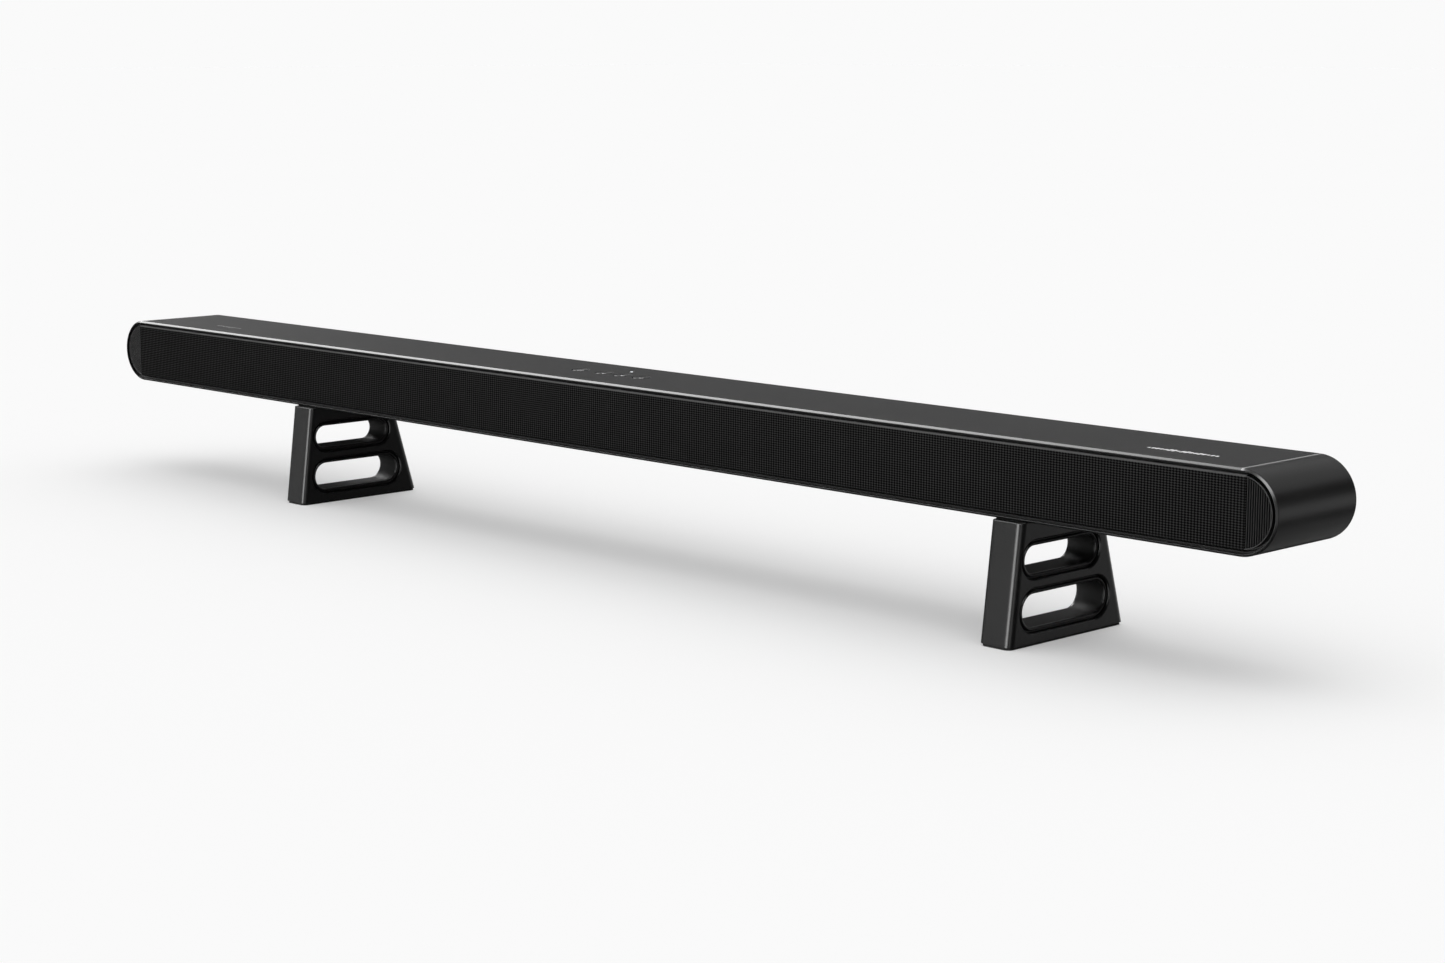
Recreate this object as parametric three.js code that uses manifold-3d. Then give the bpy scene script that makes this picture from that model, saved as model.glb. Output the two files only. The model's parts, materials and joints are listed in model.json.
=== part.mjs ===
// A slim soundbar on two riser stands. Millimetres, +Z up.
// +X runs along the bar to the listener's right, the front faces -Y, and the floor is at Z = 0.
// The origin is on the floor, midway between the ends of the bar and between the ends of the stand soles.
import * as THREE from "three";
import { mergeVertices } from "three/addons/utils/BufferGeometryUtils.js";
import Module from "manifold-3d";

const wasm = await Module();
wasm.setup();

// ---- Driving dimensions ----

const GAP = 0.3; // clearance between neighbours

const BAR_LENGTH = 978;
const BAR_HEIGHT = 42;
const BAR_DEPTH = 66.5;
const BAR_CENTRE_Y = -2.5; // the bar sits slightly forward on its stands
const WALL = 2.2;
const EDGE_CHAMFER = 1;
const GROOVE = 0.8; // dark line between the shell's rim and the grille
const END_STEPS = 14; // facets on each round end

const PANEL_THICKNESS = 0.9;
const PANEL_POCKET = 1.0;
const PANEL_MARGIN_Y = 1.6;

const GRILLE_RECESS = 0.65;
const CLOTH_THICKNESS = 0.8;
const GRILLE_THICKNESS = 3;
const SEAM_X = 470.5; // where the cloth ends and the ribbed end grilles begin
const RIB_COUNT = 11;
const RIB_WIDTH = 0.7;
const RIB_HEIGHT = 1.1;

const BAFFLE_THICKNESS = 3;
const COVER_THICKNESS = 2.2;
const COVER_RECESS = 0.65;

const WOOFER_XS = [-400, -215, 215, 400];
const WOOFER_STRAIGHT = 60; // straight middle of the racetrack outline
const WOOFER_OPENING = 26;
const WOOFER_STEPS = 14;
const COIL_RADIUS = 10;
const TWEETER_X = 305;
const TWEETER_OPENING_RADIUS = 11;
const TWEETER_STEPS = 12;
const WINDOW_HEIGHT = 29; // windows in the frame behind the cloth
const WOOFER_WINDOW = 90;
const TWEETER_WINDOW = 60;
const SPARE_WINDOW_XS = [-108, 0, 108];

const POST_XS = [-345, -155, 155, 345];
const POST_RADIUS = 3.5;
const PILOT_RADIUS = 1.8;
const PILOT_DEPTH = 12;
const COVER_SCREW = { headRadius: 2.9, shankRadius: 1.4, length: 8, crossHalf: 1.7, crossWidth: 0.7 };
const SCREW_SEAT_RADIUS = 3.4;

const BAY_WIDTH = 150;
const BAY_HEIGHT = 24;
const BAY_DEPTH = 11.5;
const BAY_WALL = 1.6;
const INLET = { x: 56, width: 21, height: 12, depth: 13 };
const HDMI = { x: -4, width: 16, height: 6.4, depth: 12 };
const OPTICAL = { x: -30, width: 10, height: 10, depth: 13 };
const AUX = { x: -54, width: 8, height: 8, depth: 12 };
const VENT_XS = [-118, 118];
const VENT_COUNT = 5;
const VENT_PITCH = 6;
const VENT_WIDTH = 2;
const VENT_HEIGHT = 18;
const PORT_X = 250;
const PORT_RADIUS = 10;
const PORT_WALL = 1.2;
const PORT_END = 6; // where the tube ends inside the bar

const BOARD_TOP = -12.4;
const BOARD_THICKNESS = 1.6;
const BOARD_FRONT = -20;
const BOARD_INSET = 5;
const BOARD_BOSS_RADIUS = 2.5;
const MAIN_BOARD_X = [-90, 38];
const POWER_BOARD_X = [42, 146];
const CONTROL_BOARD_X = [-42, 30];
const CONTROL_BOARD_Y = [-8, 18.5];
const CONTROL_BOARD_TOP = 13.6;
const SWITCH_SIZE = 6;
const SWITCH_HEIGHT = 1.8;
const LAMP_SIZE = 2;
const LAMP_HEIGHT = 0.6;
const HEAT_SINK = { x: [-75, -35], y: [-16, 4], base: 2.5, height: 15, fins: 6, finWidth: 2 };
const TRANSFORMER = { x: [92, 116], y: [-14, 2], height: 18, windingRadius: 9.5, windingStretch: 1.15 };
const IR_X = 70;
const IR_RADIUS = 4;
const IR_BODY = 10;
const LOOM_REACH = 430;
const LOOM_RADIUS = 1.4;
const LOOM_Z = 14.5;
const LOOM_DIP_Z = 8.5; // it dips under the control board

const BUTTON_RADIUS = 5;
const BUTTON_FLANGE = 1.4;
const BUTTON_DISH = 0.35;
const PLUNGER_RADIUS = 1.5;
const BUTTON_XS = { power: -33.4, volume_down: -12, source: 4.3, volume_up: 20.6 };
const LIGHT_X = -3.9;
const LIGHT_Y = 14.9;
const LIGHT_RADIUS = 1.1;

const STAND_HEIGHT = 64.4; // floor to the underside of the bar
const STAND_WIDTH = 20.6;
const STAND_LEFT_X = -271;
const STAND_RIGHT_X = 330.3;
const STAND_CORNER = 4.2;
const STAND_EDGE = 0.4;
const SOLE_THICKNESS = 1.2;
const PAD_THICKNESS = 0.3;
const PAD_INSET = 0.4; // from the sides of the stand
const STAND_BOTTOM_Y = [-46.9, 47.3]; // front and rear at the floor
const STAND_TOP_Y = [-38.6, 28.4]; // front and rear under the bar
const SLOTS = [
  { y: [-37.4, 25.6], z: [34.2, 54.4] }, // rims of the upper slot
  { y: [-38.6, 34], z: [6.4, 29.6] }, // rims of the lower slot
];
const SLOT_RIM = 3; // from the rim of the recess to the hole
const SLOT_GROOVE = 1.4;
const SLOT_GROOVE_DEPTH = 2.4;
const SLOT_LIP_DEPTH = 0.8;
const STAND_SCREW_YS = [-20.5, 7.5];
const STAND_SCREW_RADIUS = 1.7;
const STAND_SCREW_HEAD = { radius: 3.9, height: 3.3, key: 1.7 };
const STAND_SCREW_GRIP = 7; // how far it reaches into the bar
const STAND_BOSS_RADIUS = 4.5;
const STAND_BOSS_TOP = -12.5;
const SEAT_DEPTH = 4; // from the roof of the upper slot to the seat of the screw head

// ---- Places worked out from them, in the bar's own frame with its centre at the middle of the bar ----

const FRONT = -BAR_DEPTH / 2;
const REAR = BAR_DEPTH / 2;
const TOP = BAR_HEIGHT / 2;
const ROUND_X = BAR_LENGTH / 2 - TOP; // the round ends begin here
const INNER_TOP = TOP - WALL;
const GRILLE_TOP = INNER_TOP - GROOVE;
const FIT_HEIGHT = 2 * (INNER_TOP - GAP); // plates that fill the shell
const FIT_LENGTH = 2 * ROUND_X + FIT_HEIGHT;
const CLOTH_FRONT = FRONT + GRILLE_RECESS;
const FRAME_FRONT = CLOTH_FRONT + CLOTH_THICKNESS + GAP;
const BAFFLE_FRONT = FRAME_FRONT + GRILLE_THICKNESS + GAP;
const BAFFLE_REAR = BAFFLE_FRONT + BAFFLE_THICKNESS;
const COVER_REAR = REAR - COVER_RECESS;
const COVER_FRONT = COVER_REAR - COVER_THICKNESS;
const BAY_FLOOR = COVER_REAR - BAY_DEPTH;
const BOARD_REAR = BAY_FLOOR - BAY_WALL - GAP;
const ON_BOARD = BOARD_TOP + GAP; // where the parts on a board stand
const DRIVER_FRONT = BAFFLE_REAR + GAP;
const BAR_CENTRE_Z = STAND_HEIGHT + TOP;
const STAND_LOW = SOLE_THICKNESS + 0.1;
const STAND_TOP_Z = STAND_HEIGHT - PAD_THICKNESS - 0.2;
const SCREW_SEAT_Z = SLOTS[0].z[1] - SLOT_RIM + SEAT_DEPTH;

// ---- Solids: three.js geometry in, manifold joins and cuts, three.js geometry out ----

function solid(geometry) {
  const plain = geometry.clone();
  plain.deleteAttribute("normal");
  plain.deleteAttribute("uv");
  const merged = mergeVertices(plain, 1e-4);
  return new wasm.Manifold(
    new wasm.Mesh({
      numProp: 3,
      vertProperties: merged.attributes.position.array,
      triVerts: new Uint32Array(merged.index.array),
    }),
  );
}

function geometryOf(body) {
  const mesh = body.getMesh();
  const geometry = new THREE.BufferGeometry();
  geometry.setAttribute("position", new THREE.BufferAttribute(mesh.vertProperties, 3));
  geometry.setIndex(new THREE.BufferAttribute(mesh.triVerts, 1));
  const faceted = geometry.toNonIndexed();
  faceted.computeVertexNormals();
  return faceted;
}

const joined = (bodies) => bodies.reduce((a, b) => a.add(b));
const cut = (body, tools) => tools.reduce((a, b) => a.subtract(b), body);

// A box from its lowest to its highest corner.
function box([x0, y0, z0], [x1, y1, z1]) {
  const geometry = new THREE.BoxGeometry(x1 - x0, y1 - y0, z1 - z0);
  return solid(geometry.translate((x0 + x1) / 2, (y0 + y1) / 2, (z0 + z1) / 2));
}

function extruded(points, depth, options = {}) {
  return new THREE.ExtrudeGeometry(new THREE.Shape(points), { depth, bevelEnabled: false, ...options });
}

// An outline drawn in X and Z, extruded from y0 to y1.
function alongY(points, y0, y1) {
  return solid(extruded(points, y1 - y0).rotateX(Math.PI / 2).translate(0, y1, 0));
}

// An outline drawn in Y and Z, extruded from x0 to x1.
function alongX(points, x0, x1) {
  const turn = new THREE.Matrix4().makeBasis(
    new THREE.Vector3(0, 1, 0),
    new THREE.Vector3(0, 0, 1),
    new THREE.Vector3(1, 0, 0),
  );
  return solid(extruded(points, x1 - x0).applyMatrix4(turn).translate(x0, 0, 0));
}

function cylinderY(radius, y0, y1, x, z, sides = 16) {
  const geometry = new THREE.CylinderGeometry(radius, radius, y1 - y0, sides);
  return solid(geometry.translate(x, (y0 + y1) / 2, z));
}

function cylinderZ(radius, z0, z1, x, y, sides = 16) {
  const geometry = new THREE.CylinderGeometry(radius, radius, z1 - z0, sides);
  return solid(geometry.rotateX(Math.PI / 2).translate(x, y, (z0 + z1) / 2));
}

// A profile of [radius, y] points turned about the Y axis. It starts and ends on the axis or closes on itself.
// straight pulls the two halves apart in X, so that the circle becomes a racetrack.
function turned(profile, steps = WOOFER_STEPS, straight = 0) {
  const points = profile.map(([r, y]) => new THREE.Vector2(r, y));
  if (THREE.ShapeUtils.area(points) < 0) points.reverse();
  const geometry = new THREE.LatheGeometry(points, steps, Math.PI / steps);
  const position = geometry.attributes.position;
  for (let i = 0; i < position.count; i++) {
    const x = position.getX(i);
    if (Math.abs(x) > 1e-6) position.setX(i, x + (Math.sign(x) * straight) / 2);
  }
  return solid(geometry);
}

const closed = (profile) => [...profile, profile[0]];

// The outline of two half circles joined by straight lines, centred on (cx, cy).
function obround(length, height, steps = END_STEPS, cx = 0, cy = 0) {
  const radius = height / 2;
  const half = length / 2 - radius;
  const points = [];
  for (const side of [1, -1]) {
    for (let i = 0; i <= steps; i++) {
      const angle = (-side * Math.PI) / 2 + (Math.PI * i) / steps;
      const x = cx + side * half + radius * Math.cos(angle);
      points.push(new THREE.Vector2(x, cy + radius * Math.sin(angle)));
    }
  }
  return points;
}

function roundedRectangle(width, length, radius, steps = 3) {
  const points = [];
  for (let corner = 0; corner < 4; corner++) {
    const sx = corner === 0 || corner === 3 ? 1 : -1;
    const sy = corner < 2 ? 1 : -1;
    for (let i = 0; i <= steps; i++) {
      const angle = ((corner + i / steps) * Math.PI) / 2;
      points.push(
        new THREE.Vector2(
          sx * (width / 2 - radius) + radius * Math.cos(angle),
          sy * (length / 2 - radius) + radius * Math.sin(angle),
        ),
      );
    }
  }
  return points;
}

// ---- Materials ----

function finish(color, roughness, metalness = 0) {
  return new THREE.MeshStandardMaterial({ color, roughness, metalness });
}

const SATIN_BLACK = finish(0x1c1c1d, 0.32, 0.4);
const MATT_PANEL = finish(0x3a3b3b, 0.6);
const CLOTH = finish(0x161616, 0.95);
const MOULDED_BLACK = finish(0x1a1a1a, 0.55);
const STAND_BLACK = finish(0x1f1f20, 0.42);
const RUBBER = finish(0x101010, 0.9);
const PAPER_CONE = finish(0x202022, 0.8);
const STEEL = finish(0x8d9094, 0.35, 0.9);
const BLACK_STEEL = finish(0x222325, 0.45, 0.7);
const ALUMINIUM = finish(0xa8abae, 0.4, 0.85);
const BOARD_GREEN = finish(0x1f4a2c, 0.6);
const COPPER = finish(0xa0622d, 0.4, 0.8);
const LIGHT_PIPE = finish(0xe8eef2, 0.2);
const SILK = finish(0x2b2a2c, 0.7);

// ---- The scene graph ----

const soundbar = new THREE.Group();
const bar = new THREE.Group();
bar.position.set(0, BAR_CENTRE_Y, BAR_CENTRE_Z);
soundbar.add(bar);

function addPiece(parent, name, body, material, x = 0, y = 0, z = 0) {
  const mesh = new THREE.Mesh(geometryOf(body), material);
  mesh.name = name;
  mesh.position.set(x, y, z);
  parent.add(mesh);
}

// ---- Body ----

const standScrewPlaces = [];
for (const x of [STAND_LEFT_X, STAND_RIGHT_X]) {
  for (const y of STAND_SCREW_YS) {
    standScrewPlaces.push([x, y - BAR_CENTRE_Y]);
  }
}
const buttonHoles = (z0, z1) =>
  Object.values(BUTTON_XS).map((x) => cylinderZ(BUTTON_RADIUS + GAP, z0, z1, x, 0, 16));
const lightHole = (z0, z1) => cylinderZ(LIGHT_RADIUS + GAP, z0, z1, LIGHT_X, LIGHT_Y, 8);

// The sleeve: round ends, chamfered outer edges, a pocket for the top panel and bosses on its floor.
function shell() {
  const outer = solid(
    extruded(obround(BAR_LENGTH, BAR_HEIGHT), BAR_DEPTH - 2 * EDGE_CHAMFER, {
      bevelEnabled: true,
      bevelThickness: EDGE_CHAMFER,
      bevelSize: EDGE_CHAMFER,
      bevelOffset: -EDGE_CHAMFER,
      bevelSegments: 1,
    })
      .rotateX(Math.PI / 2)
      .translate(0, REAR - EDGE_CHAMFER, 0),
  );
  const inside = obround(BAR_LENGTH - 2 * WALL, BAR_HEIGHT - 2 * WALL);
  const hollow = alongY(inside, FRONT - 1, REAR + 1);
  const pocketRear = REAR - PANEL_MARGIN_Y;
  const pocket = box([-ROUND_X, -pocketRear, TOP - PANEL_POCKET], [ROUND_X, pocketRear, TOP + 1]);
  const floor = -INNER_TOP - 0.5;
  const standBosses = standScrewPlaces.map(([x, y]) => {
    return cylinderZ(STAND_BOSS_RADIUS, floor, STAND_BOSS_TOP, x, y, 10);
  });
  const standBores = standScrewPlaces.map(([x, y]) => {
    return cylinderZ(STAND_SCREW_RADIUS + GAP, -TOP - 1, 0, x, y, 8);
  });
  const boardBosses = [];
  const bossTop = BOARD_TOP - BOARD_THICKNESS - GAP;
  for (const [x0, x1] of [MAIN_BOARD_X, POWER_BOARD_X]) {
    for (const x of [x0 + BOARD_INSET, x1 - BOARD_INSET]) {
      for (const y of [BOARD_FRONT + BOARD_INSET, BOARD_REAR - BOARD_INSET]) {
        boardBosses.push(cylinderZ(BOARD_BOSS_RADIUS, floor, bossTop, x, y, 6));
      }
    }
  }
  const sleeve = joined([outer.subtract(hollow), ...standBosses, ...boardBosses]);
  return cut(sleeve, [pocket, ...standBores, ...buttonHoles(0, TOP + 1), lightHole(0, TOP + 1)]);
}

function topPanel() {
  const half = REAR - PANEL_MARGIN_Y - GAP;
  const long = ROUND_X - GAP;
  const plate = box([-long, -half, TOP - PANEL_THICKNESS], [long, half, TOP]);
  return cut(plate, [...buttonHoles(0, TOP + 1), lightHole(0, TOP + 1)]);
}

function grilleCloth() {
  return box(
    [-SEAM_X, CLOTH_FRONT, -GRILLE_TOP],
    [SEAM_X, CLOTH_FRONT + CLOTH_THICKNESS, GRILLE_TOP],
  );
}

// A plate with a window in front of each driver and each stretch between them.
function grilleFrame() {
  const rear = FRAME_FRONT + GRILLE_THICKNESS;
  const plate = box([-SEAM_X, FRAME_FRONT, -GRILLE_TOP], [SEAM_X, rear, GRILLE_TOP]);
  const centres = [...WOOFER_XS, -TWEETER_X, TWEETER_X, ...SPARE_WINDOW_XS];
  const windows = centres.map((x) => {
    const length = Math.abs(x) === TWEETER_X ? TWEETER_WINDOW : WOOFER_WINDOW;
    return alongY(obround(length, WINDOW_HEIGHT, 4, x), FRAME_FRONT - 1, rear + 1);
  });
  return cut(plate, windows);
}

// A D-shaped plate with upright ribs on its front, for the right-hand end.
function endGrille() {
  const start = SEAM_X + GAP;
  const radius = GRILLE_TOP;
  const plateFront = CLOTH_FRONT + RIB_HEIGHT;
  const outline = obround(2 * (ROUND_X + radius), 2 * radius, END_STEPS);
  const disc = alongY(outline, CLOTH_FRONT, FRAME_FRONT + GRILLE_THICKNESS);
  const far = ROUND_X + radius;
  const half = box([start, FRONT, -TOP], [far + 1, 0, TOP]);
  const pitch = (far - start) / RIB_COUNT;
  const channels = [];
  for (let i = 0; i < RIB_COUNT; i++) {
    const x0 = start + RIB_WIDTH + i * pitch;
    channels.push(box([x0, FRONT - 1, -TOP], [x0 + pitch - RIB_WIDTH, plateFront, TOP]));
  }
  return cut(disc.intersect(half), channels);
}

function frontBaffle() {
  const plate = alongY(obround(FIT_LENGTH, FIT_HEIGHT), BAFFLE_FRONT, BAFFLE_REAR);
  const posts = POST_XS.map((x) => {
    return cylinderY(POST_RADIUS, BAFFLE_FRONT + 1, COVER_FRONT - GAP, x, 0, 8);
  });
  const pilots = POST_XS.map((x) => {
    return cylinderY(PILOT_RADIUS, COVER_FRONT - PILOT_DEPTH, COVER_FRONT + 1, x, 0, 6);
  });
  const openings = WOOFER_XS.map((x) => {
    const outline = obround(WOOFER_STRAIGHT + WOOFER_OPENING, WOOFER_OPENING, 6, x);
    return alongY(outline, BAFFLE_FRONT - 1, BAFFLE_REAR + 1);
  });
  for (const x of [-TWEETER_X, TWEETER_X]) {
    openings.push(cylinderY(TWEETER_OPENING_RADIUS, BAFFLE_FRONT - 1, BAFFLE_REAR + 1, x, 0));
  }
  openings.push(cylinderY(IR_RADIUS + GAP, BAFFLE_FRONT - 1, BAFFLE_REAR + 1, IR_X, 0, 8));
  return cut(joined([plate, ...posts]), [...openings, ...pilots]);
}

// ---- Rear ----

function jackBlank({ x, width, height, depth }) {
  const low = [x - width / 2, BAY_FLOOR - depth, ON_BOARD];
  return box(low, [x + width / 2, BAY_FLOOR, ON_BOARD + height]);
}

function jackCutout({ x, width, height }) {
  const low = [x - width / 2 - GAP, BAY_FLOOR - BAY_WALL - 1, ON_BOARD - GAP];
  return box(low, [x + width / 2 + GAP, BAY_FLOOR + 1, ON_BOARD + height + GAP]);
}

// The back plate: a recessed bay for the jacks, vents, port holes and countersunk screw holes.
function rearCover() {
  const plate = alongY(obround(FIT_LENGTH, FIT_HEIGHT), COVER_FRONT, COVER_REAR);
  const halfWidth = BAY_WIDTH / 2;
  const halfHeight = BAY_HEIGHT / 2;
  const tub = box(
    [-halfWidth - BAY_WALL, BAY_FLOOR - BAY_WALL, -halfHeight - BAY_WALL],
    [halfWidth + BAY_WALL, COVER_FRONT + 1, halfHeight + BAY_WALL],
  );
  const bay = box([-halfWidth, BAY_FLOOR, -halfHeight], [halfWidth, REAR + 1, halfHeight]);
  const tools = [bay, ...[INLET, HDMI, OPTICAL, AUX].map(jackCutout)];
  for (const centre of VENT_XS) {
    for (let i = 0; i < VENT_COUNT; i++) {
      const x = centre + (i - (VENT_COUNT - 1) / 2) * VENT_PITCH;
      const low = [x - VENT_WIDTH / 2, COVER_FRONT - 1, -VENT_HEIGHT / 2];
      tools.push(box(low, [x + VENT_WIDTH / 2, REAR, VENT_HEIGHT / 2]));
    }
  }
  for (const x of [-PORT_X, PORT_X]) {
    tools.push(cylinderY(PORT_RADIUS + GAP, COVER_FRONT - 1, REAR, x, 0, 14));
  }
  for (const x of POST_XS) {
    tools.push(cylinderY(PILOT_RADIUS, COVER_FRONT - 1, REAR, x, 0, 6));
    tools.push(cylinderY(SCREW_SEAT_RADIUS, COVER_REAR - 1, REAR, x, 0, 12));
  }
  return cut(plate.add(tub), tools);
}

// A tube with a flared mouth that sits on the outside of the rear cover.
function bassPort() {
  const lip = COVER_REAR + 0.1;
  const inner = PORT_RADIUS - PORT_WALL;
  const outer = PORT_RADIUS + 2 * PORT_WALL;
  return turned(
    closed([
      [inner, PORT_END],
      [PORT_RADIUS, PORT_END],
      [PORT_RADIUS, lip],
      [outer, lip],
      [outer, lip + 0.4],
      [outer - PORT_WALL, lip + 0.5],
      [PORT_RADIUS - 0.4, lip - 0.6],
      [inner, lip - 3],
    ]),
  );
}

function coverScrew() {
  const { headRadius, shankRadius, length, crossHalf, crossWidth } = COVER_SCREW;
  const head = cylinderY(headRadius, COVER_REAR - 0.8, COVER_REAR + 0.4, 0, 0, 12);
  const shank = cylinderY(shankRadius, COVER_FRONT - length, COVER_REAR - 0.5, 0, 0, 6);
  const narrow = crossWidth / 2;
  const cross = [
    box([-crossHalf, COVER_REAR - 0.4, -narrow], [crossHalf, REAR, narrow]),
    box([-narrow, COVER_REAR - 0.4, -crossHalf], [narrow, REAR, crossHalf]),
  ];
  return cut(head.add(shank), cross);
}

// ---- Drivers, each drawn with its axis along Y and its front at Y = 0 ----

function wooferBasket() {
  const cup = turned(
    [
      [0, 11],
      [13.5, 11],
      [13.5, 0],
      [17, 0],
      [17, 1.5],
      [15, 1.5],
      [15, 12.5],
      [0, 12.5],
    ],
    WOOFER_STEPS,
    WOOFER_STRAIGHT,
  );
  const coilHole = cylinderY(COIL_RADIUS + 0.7, 10, 14, 0, 0, WOOFER_STEPS);
  const ventX = 28;
  const ventHalf = [8, 6];
  const vents = [-ventX, ventX].map((x) => {
    return box([x - ventHalf[0], 10, -ventHalf[1]], [x + ventHalf[0], 14, ventHalf[1]]);
  });
  return cut(cup, [coilHole, ...vents]);
}

function wooferMagnet() {
  return turned(
    [
      [0, 21.8],
      [15, 21.8],
      [15, 12.8],
      [10.4, 12.8],
      [10.4, 18.8],
      [9, 18.8],
      [9, 12.8],
      [0, 12.8],
    ],
  );
}

// A half roll of rubber between the basket and the cone.
function wooferSurround() {
  return turned(
    closed([
      [10.7, 1.4],
      [11.9, 0.4],
      [13.2, 1.4],
      [13.2, 2.2],
      [11.9, 1.2],
      [10.7, 2.2],
    ]),
    WOOFER_STEPS,
    WOOFER_STRAIGHT,
  );
}

// A racetrack paper cone with its voice coil former behind it.
function wooferCone() {
  const paper = turned(
    [
      [0, 3.2],
      [5, 4.4],
      [10.4, 1.2],
      [10.4, 1.9],
      [5.2, 5.3],
      [0, 4.1],
    ],
    WOOFER_STEPS,
    WOOFER_STRAIGHT,
  );
  const former = cylinderY(COIL_RADIUS, 2.8, 16.5, 0, 0, WOOFER_STEPS);
  const bore = cylinderY(COIL_RADIUS - 0.6, 4.6, 17, 0, 0, WOOFER_STEPS);
  return paper.add(former.subtract(bore));
}

function tweeterFrame() {
  return turned(
    [
      [0, 10],
      [12, 10],
      [12, 1.5],
      [14, 1.5],
      [14, 0],
      [9, 0],
      [9, 8.5],
      [0, 8.5],
    ],
    TWEETER_STEPS,
  );
}

function tweeterDome() {
  return turned(
    [
      [0, 0.6],
      [4.6, 1.5],
      [8.6, 3.6],
      [8.6, 4.3],
      [4.3, 2.3],
      [0, 1.4],
    ],
    TWEETER_STEPS,
  );
}

// ---- Electronics ----

function board([x0, x1]) {
  return box([x0, BOARD_FRONT, BOARD_TOP - BOARD_THICKNESS], [x1, BOARD_REAR, BOARD_TOP]);
}

// The board under the buttons, with a switch below each and the lamp below the light pipe.
function controlBoard() {
  const low = CONTROL_BOARD_TOP - BOARD_THICKNESS;
  const [x0, x1] = CONTROL_BOARD_X;
  const [y0, y1] = CONTROL_BOARD_Y;
  const onTop = (x, y, half, height) => {
    const base = [x - half, y - half, CONTROL_BOARD_TOP - 0.1];
    return box(base, [x + half, y + half, CONTROL_BOARD_TOP + height]);
  };
  const switches = Object.values(BUTTON_XS).map((x) => onTop(x, 0, SWITCH_SIZE / 2, SWITCH_HEIGHT));
  const lamp = onTop(LIGHT_X, LIGHT_Y, LAMP_SIZE / 2, LAMP_HEIGHT);
  return joined([box([x0, y0, low], [x1, y1, CONTROL_BOARD_TOP]), ...switches, lamp]);
}

function heatSink() {
  const { x: [x0, x1], y: [y0, y1], base, height, fins, finWidth } = HEAT_SINK;
  const pitch = (x1 - x0 - finWidth) / (fins - 1);
  const parts = [box([x0, y0, ON_BOARD], [x1, y1, ON_BOARD + base])];
  for (let i = 0; i < fins; i++) {
    const x = x0 + i * pitch;
    parts.push(box([x, y0, ON_BOARD + base - 0.5], [x + finWidth, y1, ON_BOARD + height]));
  }
  return joined(parts);
}

// A ferrite core with the bobbin's winding standing out on both sides.
function transformer() {
  const { x: [x0, x1], y: [y0, y1], height, windingRadius, windingStretch } = TRANSFORMER;
  const core = box([x0, y0, ON_BOARD], [x1, y1, ON_BOARD + height]);
  const winding = cylinderZ(windingRadius, ON_BOARD + 3, ON_BOARD + height - 3, 0, 0, 12);
  const stretched = winding.scale([1, windingStretch, 1]);
  return core.add(stretched.translate([(x0 + x1) / 2, (y0 + y1) / 2, 0]));
}

// A two-pin mains socket with a figure-eight mouth.
function powerInlet() {
  const z = ON_BOARD + INLET.height / 2;
  const mouth = alongY(obround(14.6, 8, 6, INLET.x, z), BAY_FLOOR - 10, BAY_FLOOR + 1);
  const pins = [-3.7, 3.7].map((dx) => {
    return cylinderY(1.2, BAY_FLOOR - 10.5, BAY_FLOOR - 1.5, INLET.x + dx, z, 8);
  });
  return joined([jackBlank(INLET).subtract(mouth), ...pins]);
}

function hdmiJack() {
  const z = ON_BOARD + HDMI.height / 2;
  const mouth = box([HDMI.x - 7, BAY_FLOOR - 8, z - 2.3], [HDMI.x + 7, BAY_FLOOR + 1, z + 2.3]);
  const tongue = box([HDMI.x - 5, BAY_FLOOR - 9, z - 0.2], [HDMI.x + 5, BAY_FLOOR - 1, z + 0.8]);
  return jackBlank(HDMI).subtract(mouth).add(tongue);
}

function opticalJack() {
  const z = ON_BOARD + OPTICAL.height / 2;
  const half = 3.1;
  const mouth = box(
    [OPTICAL.x - half, BAY_FLOOR - 6.5, z - half],
    [OPTICAL.x + half, BAY_FLOOR + 1, z + half],
  );
  return jackBlank(OPTICAL).subtract(mouth);
}

function auxJack() {
  const z = ON_BOARD + AUX.height / 2;
  const collar = cylinderY(3.8, BAY_FLOOR - 1, BAY_FLOOR + 1.2, AUX.x, z, 16);
  const bore = cylinderY(1.8, BAY_FLOOR - 10, BAY_FLOOR + 2, AUX.x, z, 12);
  return jackBlank(AUX).add(collar).subtract(bore);
}

function irReceiver() {
  const stem = cylinderY(IR_RADIUS, BAFFLE_FRONT + 0.5, BAFFLE_REAR + 1, IR_X, 0, 12);
  const half = IR_BODY / 2;
  const low = [IR_X - half, BAFFLE_REAR + 0.6, -half];
  return stem.add(box(low, [IR_X + half, BAFFLE_REAR + 4, half]));
}

// The wires from the amplifier, tied in one bundle behind the drivers.
function speakerLoom() {
  const shares = [-1, -0.5, -0.25, -0.12, 0, 0.12, 0.25, 0.5, 1];
  const points = shares.map((share) => {
    return new THREE.Vector3(share * LOOM_REACH, 2, Math.abs(share) > 0.2 ? LOOM_Z : LOOM_DIP_Z);
  });
  const section = [];
  for (let i = 0; i < 6; i++) {
    const angle = (i * Math.PI) / 3;
    section.push(new THREE.Vector2(LOOM_RADIUS * Math.cos(angle), LOOM_RADIUS * Math.sin(angle)));
  }
  const extrudePath = new THREE.CatmullRomCurve3(points);
  return solid(extruded(section, 1, { steps: 22, extrudePath }));
}

// ---- Controls ----

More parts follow.
